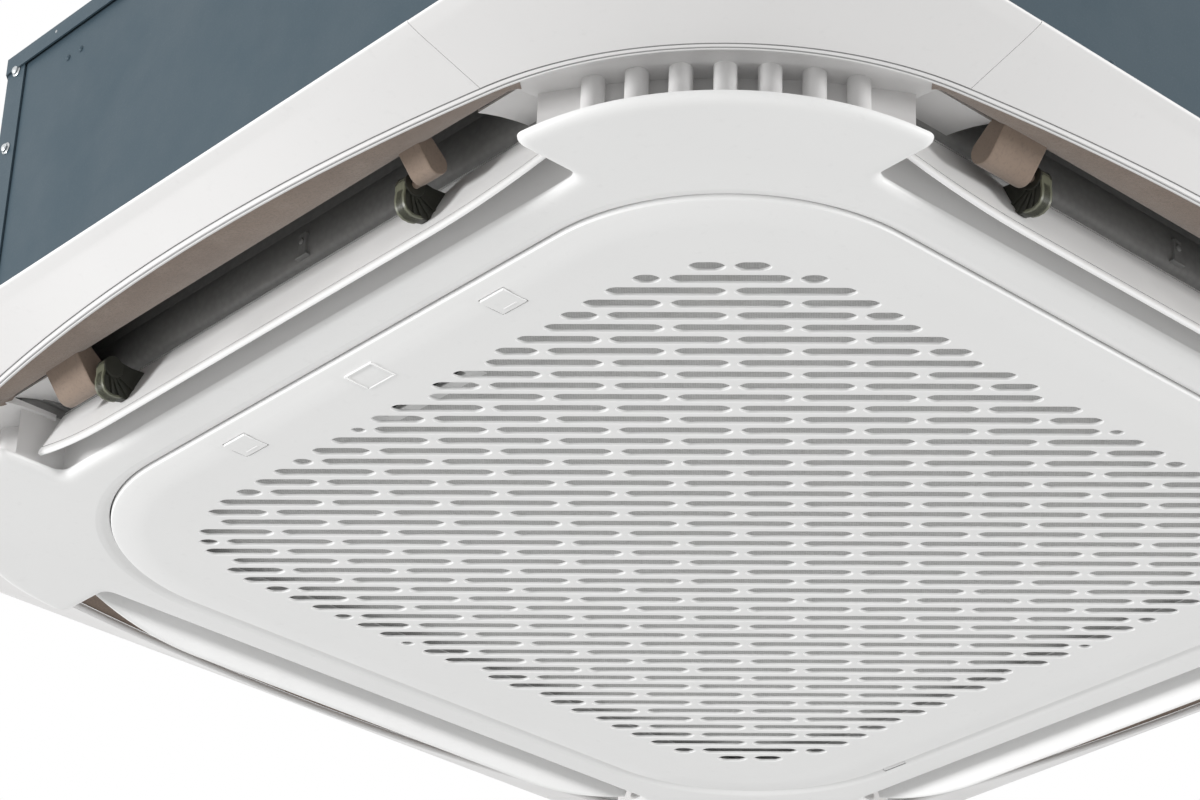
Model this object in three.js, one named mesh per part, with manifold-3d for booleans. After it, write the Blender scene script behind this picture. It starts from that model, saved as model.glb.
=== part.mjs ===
// Four-way ceiling cassette air conditioner: a square steel casing that hides above the ceiling,
// and a square panel below it with four louvered outlets round a hinged, slotted intake grille.
//
// Millimetres. z = 0 is the ceiling plane, +Z up, the origin is the middle of the ceiling opening.
// Each side is drawn as the front one, whose outward direction is -Y: a side point is (s, r, z),
// with s along the side and r outward from the middle, and lies at x = s, y = -r.

import * as THREE from "three";
import { mergeVertices } from "three/addons/utils/BufferGeometryUtils.js";
import Module from "manifold-3d";

const wasm = await Module();
wasm.setup();

// ---------------------------------------------------------------- driving dimensions

const SIDES = ["front", "right", "rear", "left"];
const SEAT = 0.3; // clearance between a piece and what it rests on
const HALF_SQRT2 = Math.SQRT1_2;

// Panel
const PANEL_HALF = 475;
const PANEL_CORNER_RADIUS = 30;
const PANEL_DROP = 45; // ceiling plane to the slot plane of the grille
const RING_EDGE = 1.5; // upright outer edge of the ring
const RING_BEVEL_WIDTH = 9;
const RING_BEVEL_DEPTH = 5;
const RING_SKIN = 4.8; // upright thickness of the ring under its bevel
const RING_TOP_LAND = 6; // flat strip that presses on the ceiling
const RING_WIDTH = 37; // from the panel's edge to the lip, half way along a side
const LIP_MID = PANEL_HALF - RING_WIDTH;
const LIP_BOW = 1480; // radius of the lip's bow along a side
const LIP_CORNER_START = 245; // s at which the lip turns into its corner arc
const LIP_DEPTH = 19.6; // lip below the ceiling plane
const LIP_LAND = 2.5; // rounded nose of the lip
const COVER_SEAM = 242; // s of the seam between ring and corner cover
const COVER_SKIN = 2.4;
const COVER_INNER = 6; // corner cover stops this far outside the lip

// Centre plate
const PLATE_BOTTOM_DROP = 42;
const PLATE_THICKNESS = 5;
const PLATE_CHAMFER = 4;
const OUTLET_WIDTH = 85; // from the lip to the plate's edge, half way along a side
const OUTLET_INNER = LIP_MID - OUTLET_WIDTH;
const OUTLET_HALF = 241; // half length of an outlet
const LOBE_LENGTH = 50; // of the lobe's straight side, outward from the plate's edge
const LOBE_REACH = OUTLET_INNER + LOBE_LENGTH;
const LOBE_SLIT = 10; // between the lobe's apex and the lip
const LOBE_FILLET = 8;

// Panel frame behind the plate
const FRAME_INNER_FACE = OUTLET_INNER - 2; // face of the duct wall along an outlet
const FRAME_WALL = 2.5;
const FRAME_END_INSET = 2.5; // end walls stand this far inside the lobe's sides
const CORNER_WALL_BEHIND = 39; // corner's back wall, behind the lobe's apex
const CORNER_WALL_REACH = LOBE_REACH - 17;
const RIB_COUNT = 7;
const RIB_PITCH = 23.5;
const RIB_WIDTH = 13;
const RIB_REACH = 20;
const ROOF_SKIN = 2.6;
const ROOF_START = 238.8; // s at which the corner roof begins
const ROOF_DEPTH = 56;

// Outlet flare, its blocks and the louver
const DUCT_INNER = OUTLET_INNER + 4;
const DUCT_WIDTH = 35.5;
const DUCT_OUTER = DUCT_INNER + DUCT_WIDTH;
const DUCT_HALF = 239.5;
const FLARE_HALF = 237.5;
const FLARE_SKIN = 2.4;
const FLARE_GAP = 1.4; // between the flare's top and the pan
const FLARE_TOP = 14;
const PIVOT_R = DUCT_OUTER - 6.5;
const PIVOT_DROP = 15;
const BLOCK_END_RADIUS = 8.5;
const MOTOR_BLOCK_START = -191; // along the side
const MOTOR_BLOCK_END = -158;
const BEARING_BLOCK_START = 150;
const BEARING_BLOCK_END = 165;
const MOTOR_ARM_START = -152;
const BEARING_ARM_START = 128;
const ARM_WIDTH = 13;
const ARM_EYE_RADIUS = 7.5;
const ARM_REACH = 20; // of the arm's round rim from the pivot
const PIN_RADIUS = 2.5;
const PIN_DEPTH = 6; // of a pin in its arm
const PIN_CLEARANCE = 0.5;
const LOUVER_MOTOR_RADIUS = 6.6;
const LOUVER_MOTOR_LENGTH = 22;
const BLADE_TOP_R = OUTLET_INNER + 5;
const BLADE_TOP_RISE = 2; // above the ceiling plane
const BLADE_TILT = THREE.MathUtils.degToRad(25); // from the vertical, at rest
const BLADE_CHORD = 54;
const BLADE_THICKNESS = 3.2;
const BLADE_HALF = 238;
const BLADE_STRAIGHT = 147; // half length of the straight part of the outer edge
const BLADE_BOW = 280;

// Intake grille
const GRILLE_MARGIN = 30.5; // plate between the grille and an outlet
const GRILLE_HALF = OUTLET_INNER - GRILLE_MARGIN;
const GRILLE_CORNER_RADIUS = 133;
const GRILLE_GAP = 1.5;
const GRILLE_EDGE_RISE = 3; // grille's edge above its slot plane
const GRILLE_EDGE_WIDTH = 22;
const GRILLE_THICKNESS = 5;
const GRILLE_SKIN = 2.8;
const SLOT_FIELD_MARGIN = 52.8;
const SLOT_FIELD_HALF = GRILLE_HALF - SLOT_FIELD_MARGIN;
const SLOT_FIELD_RADIUS = 93;
const SLOT_ROW_PITCH = 13.45;
const SLOT_PITCH = 73.6;
const SLOT_WIDTH = 9.2;
const SLOT_BRIDGE = 5.6;
const SLOT_SHORTEST = 12;
const HINGE_AXIS_R = GRILLE_HALF + 5; // outside the opening, so the grille's corners clear the plate
const HINGE_AXIS_RISE = 6.4; // above the slot plane
const HINGE_X = 180;
const HINGE_WIDTH = 20;
const HINGE_PIN_RADIUS = 1;
const HINGE_BORE_RADIUS = 1.4;
const HINGE_EYE_RADIUS = 2;
const HINGE_CLEARANCE = 0.4;
const HINGE_ARM = 1.8; // thickness of the arm from the eye, over the plate's edge, to the grille
const HINGE_ARM_RISE = 3.9; // of the arm's underside above the axis
const HINGE_LEG_R = GRILLE_HALF - 7;
const FILTER_HALF = SLOT_FIELD_HALF + 16.3;
const FILTER_RIB_HALF = FILTER_HALF - 4;
const FILTER_RIB_WIDTH = 3;
const FILTER_RIB_HEIGHT = 6;
const LATCH_X = 120;
const LATCH_INSET = 20.5; // from the grille's edge to the middle of a button
const LATCH_R = GRILLE_HALF - LATCH_INSET;
const LATCH_LENGTH = 21;
const LATCH_WIDTH = 18;
const LATCH_GAP = 0.4;
const LATCH_HEIGHT = 9;
const LATCH_FLANGE = 2.5;

// Air filter
const FILTER_CORNER = 60;
const FILTER_FRAME = 9;
const FILTER_HEIGHT = 4;
const FILTER_SHEET = 1.2;
const FILTER_NOTCH_WIDTH = 60;
const FILTER_NOTCH_DEPTH = 34;

// Casing
const PANEL_OVERHANG = 55;
const CASING_HALF = PANEL_HALF - PANEL_OVERHANG;
const CASING_FLAT = CASING_HALF * 0.6; // half length of a side between its cut corners
const CASING_HEIGHT = 245;
const CASING_BOTTOM = 4.5;
const SHEET = 1.2;
const SEAM_FLANGE = 18;
const TOP_SKIRT = 12;
const BOTTOM_FLANGE = 20;
const LINER_THICKNESS = 14;
const EMBOSS = 2;
const DOME_RADIUS = 150;
const DOME_EDGE = 10;
const BEAD_START = 190;
const BEAD_END = CASING_HALF - 40;
const BEAD_WIDTH = 16;

// Hanging brackets
const EAR_HEIGHT = 110;
const EAR_WIDTH = 60;
const EAR_REACH = 42;
const EAR_THICKNESS = 2.5;
const EAR_PLATE_HEIGHT = 55;
const EAR_SLOT_WIDTH = 12;
const EAR_SLOT_LENGTH = 28;
const EAR_SLOT_CENTRE = 22;

// Drain pan, bell mouth, coil
const PAN_BOTTOM = 6;
const PAN_TOP = 75;
const PAN_HOLE_RADIUS = DUCT_INNER - 127;
const PAN_EDGE_RADIUS = 16;
const TROUGH_FLOOR = 34;
const TROUGH_MARGIN = 8;
const BELL_FLANGE_RADIUS = PAN_HOLE_RADIUS + 32;
const BELL_THROAT_RADIUS = PAN_HOLE_RADIUS - 42;
const BELL_TOP = 86;
const BELL_SKIN = 2;
const COIL_HALF = DUCT_INNER - 17;
const COIL_DEPTH = 44;
const COIL_CORNER_RADIUS = 90;
const COIL_END = COIL_HALF - 210; // the coil is open at the pipe corner, past this place
const END_PLATE = 2;
const END_PLATE_MARGIN = 6;

// Fan and its motor
const FAN_RADIUS = PAN_HOLE_RADIUS + 2;
const FAN_INLET_RADIUS = BELL_THROAT_RADIUS + 5;
const FAN_BOTTOM = 80;
const FAN_TOP = 205;
const FAN_SKIN = 2.5;
const FAN_LIFT = 4; // blades above the bell mouth
const FAN_BLADES = 7;
const HUB_RADIUS = 60;
const HUB_FLOOR = 140;
const HUB_BOSS_RADIUS = 16;
const SHAFT_RADIUS = 6;
const SHAFT_BOTTOM = 128;
const MOTOR_RADIUS = 50;
const MOTOR_BOTTOM = 164;
const MOTOR_FOOT_REACH = 78;
const MOTOR_FOOT_WIDTH = 26;
const NUT_RADIUS = 10;

// Drain pump, at the pipe corner
const PUMP_X = COIL_HALF - 125;
const PUMP_Y = COIL_HALF - COIL_DEPTH / 2; // middle of the trough
const PUMP_VOLUTE_RADIUS = 28;
const PUMP_FLOOR = 40;
const PUMP_VOLUTE_HEIGHT = 20;
const PUMP_COLUMN_RADIUS = 10;
const PUMP_MOTOR_RADIUS = 24;
const PUMP_MOTOR_BOTTOM = 92;
const PUMP_MOTOR_TOP = 128;
const PUMP_WALL = 3;
const PUMP_PLATE_WIDTH = 24;
const PUMP_PLATE_LENGTH = COIL_DEPTH + 2 * TROUGH_MARGIN + 12;
const PUMP_PLATE_THICKNESS = 3;
const FLOAT_OFFSET = 52;
const FLOAT_RADIUS = 12;
const FLOAT_HEIGHT = 12;
const FLOAT_TRAVEL = 15;
const FLOAT_STEM_RADIUS = 3;
const DRAIN_RADIUS = 13;
const DRAIN_HEIGHT = 185;

// Pipes, at the pipe corner; offsets are along the cut corner, from its middle
const PIPE_END = 520; // along the diagonal
const GAS_PIPE_RADIUS = 8;
const GAS_PIPE_OFFSET = -30;
const GAS_PIPE_HEIGHT = 150;
const LIQUID_PIPE_RADIUS = 5;
const LIQUID_PIPE_OFFSET = -64;
const LIQUID_PIPE_HEIGHT = 105;
const DRAIN_OFFSET = 62;
const WALL_HOLE_CLEARANCE = 3;
const FLARE_NUT_LENGTH = 24;

// Electrical box, under the pan inside the intake
const BOX_HALF_LENGTH = 150;
const BOX_WIDTH = 72;
const BOX_FAR = DUCT_INNER - 19;
const BOX_NEAR = BOX_FAR - BOX_WIDTH;
const BOX_DEPTH = 28;
const BOX_WALL = 1.5;
const BOARD_THICKNESS = 1.6;
const GLAND_RADIUS = 9;
const GLAND_HEIGHT = 60;
const GLAND_X = -190;
const GLAND_LENGTH = 16;

const BELL_ROUND = 36; // sides of the widest round piece
const ROUND = 20; // sides of a large round piece
const SMALL_ROUND = 12;
const TINY_ROUND = 8;

// ---------------------------------------------------------------- places worked out from them

const SLOT_PLANE = -PANEL_DROP;
const PLATE_BOTTOM = -PLATE_BOTTOM_DROP;
const PLATE_TOP = PLATE_BOTTOM + PLATE_THICKNESS;
const GRILLE_EDGE = SLOT_PLANE + GRILLE_EDGE_RISE;
const GRILLE_BACK = SLOT_PLANE + GRILLE_THICKNESS;
const FILTER_BOTTOM = GRILLE_BACK + FILTER_RIB_HEIGHT + SEAT;
const LIP = -LIP_DEPTH;
const FRAME_BOTTOM = PLATE_TOP + SEAT;
const FRAME_TOP = -SEAT;
const OPENING_HALF = GRILLE_HALF + GRILLE_GAP;
const PIVOT_Z = -PIVOT_DROP;
const HINGE_Z = SLOT_PLANE + HINGE_AXIS_RISE;
const CORNER_OUTER = CASING_HALF + SEAT + SHEET; // corner panels lie over the side panels
const CORNER_BEND = CASING_FLAT + SHEET;
const CORNER_DISTANCE = (CORNER_OUTER + CORNER_BEND) * HALF_SQRT2;
const INSIDE_HALF = CASING_HALF - SHEET - SEAT;
const INSIDE_FLAT = (CORNER_DISTANCE - SHEET - SEAT) / HALF_SQRT2 - INSIDE_HALF;
const INSIDE_TOP = CASING_HEIGHT - SHEET - SEAT;

// ---------------------------------------------------------------- geometry helpers

// A closed geometry as a manifold solid, whichever way its faces were wound.
function solid(geometry) {
  const loose = geometry.index ? geometry.toNonIndexed() : geometry;
  const bare = new THREE.BufferGeometry();
  bare.setAttribute("position", loose.getAttribute("position"));
  const welded = mergeVertices(bare, 1e-4);
  const corners = welded.index.array;
  const kept = [];
  for (let i = 0; i < corners.length; i += 3) {
    const [a, b, c] = corners.slice(i, i + 3);
    if (a !== b && b !== c && c !== a) kept.push(a, b, c);
  }
  const vertProperties = welded.getAttribute("position").array;
  if (signedVolume(vertProperties, kept) < 0) kept.reverse();
  const triVerts = new Uint32Array(kept);
  return new wasm.Manifold(new wasm.Mesh({ numProp: 3, vertProperties, triVerts }));
}

function signedVolume(points, corners) {
  const [a, b, c] = [new THREE.Vector3(), new THREE.Vector3(), new THREE.Vector3()];
  let sum = 0;
  for (let i = 0; i < corners.length; i += 3) {
    a.fromArray(points, corners[i] * 3);
    b.fromArray(points, corners[i + 1] * 3);
    c.fromArray(points, corners[i + 2] * 3);
    sum += a.dot(b.cross(c));
  }
  return sum;
}

function geometryOf(body) {
  const mesh = body.getMesh();
  const geometry = new THREE.BufferGeometry();
  geometry.setAttribute("position", new THREE.BufferAttribute(mesh.vertProperties, 3));
  geometry.setIndex(new THREE.BufferAttribute(mesh.triVerts, 1));
  const flat = geometry.toNonIndexed();
  flat.computeVertexNormals();
  return flat;
}

const join = (...bodies) => bodies.reduce((whole, next) => whole.add(next));
const cut = (body, ...tools) => tools.reduce((left, tool) => left.subtract(tool), body);

// A skin through rings of points, closed by flat caps unless the rings run round in a loop.
function loft(rings, { loop = false } = {}) {
  const positions = [];
  const triangle = (a, b, c) => positions.push(...a, ...b, ...c);
  const spans = loop ? rings.length : rings.length - 1;
  for (let i = 0; i < spans; i++) {
    const near = rings[i];
    const far = rings[(i + 1) % rings.length];
    for (let j = 0; j < near.length; j++) {
      const k = (j + 1) % near.length;
      triangle(near[j], near[k], far[k]);
      triangle(near[j], far[k], far[j]);
    }
  }
  if (!loop) {
    cap(rings[0], -1, triangle);
    cap(rings.at(-1), 1, triangle);
  }
  const geometry = new THREE.BufferGeometry();
  geometry.setAttribute("position", new THREE.Float32BufferAttribute(positions, 3));
  return solid(geometry);
}

function cap(ring, side, triangle) {
  const points = ring.map((p) => new THREE.Vector3(...p));
  const normal = new THREE.Vector3();
  points.forEach((p, i) => normal.add(p.clone().cross(points[(i + 1) % points.length])));
  normal.normalize();
  const across = new THREE.Vector3(normal.z, normal.x, normal.y).cross(normal).normalize();
  const up = normal.clone().cross(across);
  const flat = points.map((p) => new THREE.Vector2(p.dot(across), p.dot(up)));
  for (const [a, b, c] of THREE.ShapeUtils.triangulateShape(flat, [])) {
    const [pa, pb, pc] = [points[a], points[b], points[c]];
    const facing = pb.clone().sub(pa).cross(pc.clone().sub(pa)).dot(normal) * side;
    if (facing > 0) triangle(ring[a], ring[b], ring[c]);
    else triangle(ring[a], ring[c], ring[b]);
  }
}

// An upright prism over an outline of [x, y] points.
function prism(outline, bottom, top) {
  return loft([bottom, top].map((z) => outline.map(([x, y]) => [x, y, z])));
}

function box(x0, x1, y0, y1, z0, z1) {
  return prism([[x0, y0], [x1, y0], [x1, y1], [x0, y1]], z0, z1);
}

// A bar along s over a profile of [r, z] points.
function sideBar(profile, s0, s1) {
  return loft([s0, s1].map((s) => profile.map(([r, z]) => [s, -r, z])));
}

function circle(radius, count, cx = 0, cy = 0, turn = 0) {
  return Array.from({ length: count }, (_, i) => {
    const angle = turn + (i / count) * 2 * Math.PI;
    return [cx + radius * Math.cos(angle), cy + radius * Math.sin(angle)];
  });
}

const post = (radius, count, x, y, z0, z1) => prism(circle(radius, count, x, y), z0, z1);

const sidePin = (radius, count, r, z, s0, s1) => sideBar(circle(radius, count, r, z), s0, s1);

function lathe(profile, count) {
  const points = [...profile, profile[0]].map(([r, z]) => new THREE.Vector2(r, z));
  return solid(new THREE.LatheGeometry(points, count).rotateX(Math.PI / 2));
}

function arc(cx, cy, radius, from, to, steps) {
  return Array.from({ length: steps + 1 }, (_, i) => {
    const angle = from + ((to - from) * i) / steps;
    return [cx + radius * Math.cos(angle), cy + radius * Math.sin(angle)];
  });
}

function bezier(p0, p1, p2, steps) {
  return Array.from({ length: steps + 1 }, (_, i) => {
    const t = i / steps;
    const [a, b, c] = [(1 - t) ** 2, 2 * t * (1 - t), t ** 2];
    return [a * p0[0] + b * p1[0] + c * p2[0], a * p0[1] + b * p1[1] + c * p2[1]];
  });
}

// The same open line, shifted sideways (to the right of its direction) by a distance.
function offsetLine(line, distance) {
  return line.map(([x, y], i) => {
    const [ax, ay] = line[Math.max(i - 1, 0)];
    const [bx, by] = line[Math.min(i + 1, line.length - 1)];
    const length = Math.hypot(bx - ax, by - ay);
    return [x + (distance * (by - ay)) / length, y - (distance * (bx - ax)) / length];
  });
}

const quarterTurn = ([x, y], quarters) => {
  let point = [x, y];
  for (let i = 0; i < quarters; i++) point = [-point[1], point[0]];
  return point;
};

const mirrorInCorner = ([x, y]) => [-y, -x];

// A four-fold outline from the points between the middle of a side and the corner's diagonal.
function fourFold(halfCorner) {
  const [x, y] = halfCorner.at(-1);
  const onDiagonal = Math.abs(x + y) < 1e-6;
  const mirrored = (onDiagonal ? halfCorner.slice(0, -1) : [...halfCorner]).reverse().map(mirrorInCorner);
  const corner = [...halfCorner, ...mirrored];
  return SIDES.flatMap((_, k) => corner.map((p) => quarterTurn(p, k)));
}

function roundedSquare(half, radius, steps = 6) {
  const middle = half - radius;
  const eighth = arc(middle, -middle, radius, -Math.PI / 2, -Math.PI / 4, steps / 2);
  return fourFold(eighth);
}

function cutSquare(half, flat) {
  return fourFold([[flat, -half]]);
}

function tube(points, radius, count, steps) {
  const path = new THREE.CatmullRomCurve3(points.map((p) => new THREE.Vector3(...p)), false, "centripetal");
  const section = new THREE.Shape(circle(radius, count).map(([x, y]) => new THREE.Vector2(x, y)));
  return solid(new THREE.ExtrudeGeometry(section, { steps, extrudePath: path, bevelEnabled: false }));
}

// ---------------------------------------------------------------- model tree

const cassette = new THREE.Group();
const sideGroups = SIDES.map((_, k) => {
  const group = new THREE.Group();
  group.rotation.z = (k * Math.PI) / 2;
  cassette.add(group);
  return group;
});

function finish(colour, roughness, metalness = 0) {
  return new THREE.MeshStandardMaterial({ color: colour, roughness, metalness });
}

const white = () => finish(0xe6e5e3, 0.45);
const ringWhite = () => finish(0xf0eeec, 0.5);
const steelBlue = () => finish(0x55646f, 0.5, 0.4);
const galvanised = () => finish(0xa9adb0, 0.4, 0.9);
const foamDark = () => finish(0x3c3c3a, 0.6);
const foamWhite = () => finish(0xd8d8d4, 0.9);
const flock = () => finish(0x918276, 0.95);
const copper = () => finish(0xb87850, 0.35, 0.95);
const brass = () => finish(0xc0a060, 0.35, 0.9);
const blackPlastic = () => finish(0x26272a, 0.6);

function addMesh(parent, name, body, material) {
  const mesh = new THREE.Mesh(geometryOf(body), material);
  mesh.name = name;
  parent.add(mesh);
  return mesh;
}

// ---------------------------------------------------------------- ring and corner covers

const lipRadius = (s) => LIP_MID - (LIP_BOW - Math.sqrt(LIP_BOW ** 2 - s ** 2));

// The lip's corner arc touches the bowed sides, and its centre lies on the diagonal.
const LIP_TURN = Math.asin(LIP_CORNER_START / LIP_BOW);
const LIP_CORNER_RADIUS =
  (lipRadius(LIP_CORNER_START) - LIP_CORNER_START) / (Math.cos(LIP_TURN) - Math.sin(LIP_TURN));
const LIP_CORNER_CENTRE = LIP_CORNER_START - LIP_CORNER_RADIUS * Math.sin(LIP_TURN);
const LIP_APEX = LIP_CORNER_CENTRE / HALF_SQRT2 + LIP_CORNER_RADIUS;
const LOBE_APEX = LIP_APEX - LOBE_SLIT;
const CORNER_WALL_APEX = LOBE_APEX - CORNER_WALL_BEHIND;

// A station is a place on the lip, with the way outward from it to the panel's edge.
function stationAt(lip, edge) {
  const reach = Math.hypot(edge[0] - lip[0], edge[1] - lip[1]);
  const out = [(edge[0] - lip[0]) / reach, (edge[1] - lip[1]) / reach];
  return { lip, out, reach };
}

const sideStation = (s) => stationAt([s, -lipRadius(s)], [s, -PANEL_HALF]);

function cornerStation(share) {
  const from = -Math.PI / 2 + LIP_TURN;
  const angle = from + share * (-LIP_TURN - from);
  const [dx, dy] = [Math.cos(angle), Math.sin(angle)];
  const lip = [LIP_CORNER_CENTRE + LIP_CORNER_RADIUS * dx, -LIP_CORNER_CENTRE + LIP_CORNER_RADIUS * dy];
  const run = Math.min((PANEL_HALF - LIP_CORNER_CENTRE) / Math.max(dx, -dy), cornerRun(dx, dy));
  return stationAt(lip, [LIP_CORNER_CENTRE + run * dx, -LIP_CORNER_CENTRE + run * dy]);
}

// Run from the lip arc's centre to the round corner of the panel, where the ray meets it.
function cornerRun(dx, dy) {
  const gap = PANEL_HALF - PANEL_CORNER_RADIUS - LIP_CORNER_CENTRE;
  const along = gap * dx - gap * dy;
  const beside = 2 * gap ** 2 - along ** 2;
  if (beside > PANEL_CORNER_RADIUS ** 2) return Infinity;
  return along + Math.sqrt(PANEL_CORNER_RADIUS ** 2 - beside);
}

const turnStation = (station, quarters) => ({
  lip: quarterTurn(station.lip, quarters),
  out: quarterTurn(station.out, quarters),
  reach: station.reach,
});

const mirrorStation = (station) => ({
  lip: mirrorInCorner(station.lip),
  out: mirrorInCorner(station.out),
  reach: station.reach,
});

const CORNER_SHARES = [0, 0.14, 0.28, 0.4, 0.46, 0.5];
const SIDE_STATIONS = [-125, 0, 125];

// Stations from an s near the corner of the front side, round the corner, to its mirror place.
function cornerStations(start) {
  const half = [sideStation(start), ...CORNER_SHARES.map(cornerStation)];
  const mirrored = half.slice(0, -1).reverse().map(mirrorStation);
  return [...half, ...mirrored];
}

// A ring section: points are [distance outward from the lip, z], placed at a station.
const placeSection = ({ lip, out }, points) => points.map(([d, z]) => [lip[0] + out[0] * d, lip[1] + out[1] * d, z]);

// Height of the ring's lower face, a straight slope from the lip's nose to the bevel.
function slopeAt(reach, d) {
  const share = (d - LIP_LAND) / (reach - RING_BEVEL_WIDTH - LIP_LAND);
  return LIP + share * (LIP_DEPTH - RING_BEVEL_DEPTH);
}

const LIP_NOSE = [0, LIP + 1.4];
const LIP_BACK = [0.6, LIP + 3.2];
const LIP_TOP = [3, LIP + RING_SKIN + 0.4];
const LIP_SEAM = 0.8; // where a flare or a corner roof meets the ring's lip
const LIP_SEAM_Z = LIP + 4.1;

// rebate is how deep the corner cover is let in: 0 along the sides.
function ringSection(station, rebate) {
  const { reach } = station;
  return placeSection(station, [
    [reach - rebate, 0],
    [reach - rebate, -RING_EDGE],
    [reach - RING_BEVEL_WIDTH, -RING_BEVEL_DEPTH + rebate],
    [COVER_INNER, slopeAt(reach, COVER_INNER) + rebate],
    [COVER_INNER, slopeAt(reach, COVER_INNER)],
    [LIP_LAND, LIP],
    LIP_NOSE,
    LIP_BACK,
    LIP_TOP,
    [reach - RING_TOP_LAND, 0],
  ]);
}

function makeOuterRing() {
  const rebate = COVER_SKIN + SEAT;
  const rings = SIDES.flatMap((_, k) => {
    const side = SIDE_STATIONS.map((s) => ringSection(turnStation(sideStation(s), k), 0));
    const corner = cornerStations(COVER_SEAM).map((station) => turnStation(station, k));
    const deep = corner.map((station) => ringSection(station, rebate));
    const plainStart = ringSection(corner[0], 0);
    const plainEnd = ringSection(corner.at(-1), 0);
    return [...side, plainStart, ...deep, plainEnd];
  });
  addMesh(cassette, "outer_ring", loft(rings, { loop: true }), ringWhite());
}

// The upper face comes first, so that its facets are split as the ring's rebate is.
function coverSection(station) {
  const { reach } = station;
  const inner = COVER_INNER + SEAT;
  return placeSection(station, [
    [reach - COVER_SKIN, -SEAT],
    [reach - COVER_SKIN, -RING_EDGE],
    [reach - RING_BEVEL_WIDTH, -RING_BEVEL_DEPTH + COVER_SKIN],
    [inner, slopeAt(reach, inner) + COVER_SKIN],
    [inner, slopeAt(reach, inner)],
    [reach - RING_BEVEL_WIDTH, -RING_BEVEL_DEPTH],
    [reach, -RING_EDGE],
    [reach, -SEAT],
  ]);
}

function makeCornerCovers() {
  const body = loft(cornerStations(COVER_SEAM + SEAT).map(coverSection));
  SIDES.forEach((name, k) => addMesh(sideGroups[k], "corner_cover_" + name, body, ringWhite()));
}

// ---------------------------------------------------------------- centre plate and panel frame

// A corner lobe's outer arc, from its tip to the diagonal, for an apex and a half chord.
function lobeArc(apex, tipDiagonal, halfChord, steps) {
  const sagitta = apex - tipDiagonal;
  const radius = (halfChord ** 2 + sagitta ** 2) / (2 * sagitta);
  const sweep = Math.asin(halfChord / radius);
  return arc(apex - radius, 0, radius, -sweep, 0, steps).map(([d, t]) => [
    (d + t) * HALF_SQRT2,
    (t - d) * HALF_SQRT2,
  ]);
}

function plateOutline(inset) {
  const edge = OUTLET_INNER - inset;
  const end = OUTLET_HALF + inset;
  const fillet = LOBE_FILLET - inset / 2;
  const notch = arc(end - fillet, -edge - fillet, fillet, Math.PI / 2, 0, 2);
  const tipDiagonal = (LOBE_REACH + OUTLET_HALF + LOBE_FILLET) * HALF_SQRT2 - inset;
  const halfChord = (LOBE_REACH - OUTLET_HALF) * HALF_SQRT2 - LOBE_FILLET * 1.2;
  const outer = lobeArc(LOBE_APEX - inset, tipDiagonal, halfChord - inset, 4);
  const tip = [end + 1, -LOBE_REACH + LOBE_FILLET / 2 + inset];
  return fourFold([...notch, tip, ...outer]);
}

function makeCentrePlate() {
  const ring = (inset, z) => plateOutline(inset).map(([x, y]) => [x, y, z]);
  const plate = loft([
    ring(PLATE_CHAMFER, PLATE_BOTTOM),
    ring(0, PLATE_BOTTOM + PLATE_CHAMFER * 0.7),
    ring(0, PLATE_TOP),
  ]);
  const radius = GRILLE_CORNER_RADIUS + GRILLE_GAP;
  const opening = prism(roundedSquare(OPENING_HALF, radius), PLATE_BOTTOM - 1, PLATE_TOP + 1);
  const pockets = [-1, 1].map(hingePocket);
  const pins = [-1, 1].map(hingePin);
  addMesh(cassette, "centre_plate", join(cut(plate, opening, ...pockets), ...pins), white());
}

// A rod along X on the hinge axis, at the rear.
const hingeRod = (radius, x0, x1) => sidePin(radius, SMALL_ROUND, -HINGE_AXIS_R, HINGE_Z, x0, x1);

// The hollow in the plate's upper face that an eye of the grille turns in, open towards the grille.
function hingePocket(side) {
  const radius = HINGE_EYE_RADIUS + HINGE_CLEARANCE;
  const half = HINGE_WIDTH / 2 + HINGE_CLEARANCE;
  const [x0, x1] = [side * HINGE_X - half, side * HINGE_X + half];
  const way = box(x0, x1, OPENING_HALF - 1, HINGE_AXIS_R, HINGE_Z - radius, PLATE_TOP + 1);
  return join(hingeRod(radius, x0, x1), way, box(x0, x1, HINGE_AXIS_R - 1, HINGE_AXIS_R + radius, HINGE_Z, PLATE_TOP + 1));
}

function hingePin(side) {
  const half = HINGE_WIDTH / 2 + HINGE_CLEARANCE + 1;
  return hingeRod(HINGE_PIN_RADIUS, side * HINGE_X - half, side * HINGE_X + half);
}

function frameOutline(inset) {
  const end = OUTLET_HALF + FRAME_END_INSET + inset;
  const apex = CORNER_WALL_APEX - inset;
  const reach = CORNER_WALL_REACH - inset;
  const tipDiagonal = (reach + end) * HALF_SQRT2;
  const halfChord = (reach - end) * HALF_SQRT2;
  return fourFold([[end, -(FRAME_INNER_FACE - inset)], ...lobeArc(apex, tipDiagonal, halfChord, 3)]);
}

// An upright half-round rib on a corner's back wall; place is its offset from the diagonal.
function cornerRib(place) {
  const root = CORNER_WALL_APEX - FRAME_WALL - (place * place) / 400;
  const nose = arc(root + RIB_REACH - RIB_WIDTH / 2, place, RIB_WIDTH / 2, -Math.PI / 2, Math.PI / 2, 4);
  const plan = [[root, place - RIB_WIDTH / 2], ...nose, [root, place + RIB_WIDTH / 2]];
  const turned = plan.map(([d, t]) => [(d + t) * HALF_SQRT2, (t - d) * HALF_SQRT2]);
  return prism(turned, FRAME_BOTTOM, -ROOF_SKIN);
}

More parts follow.
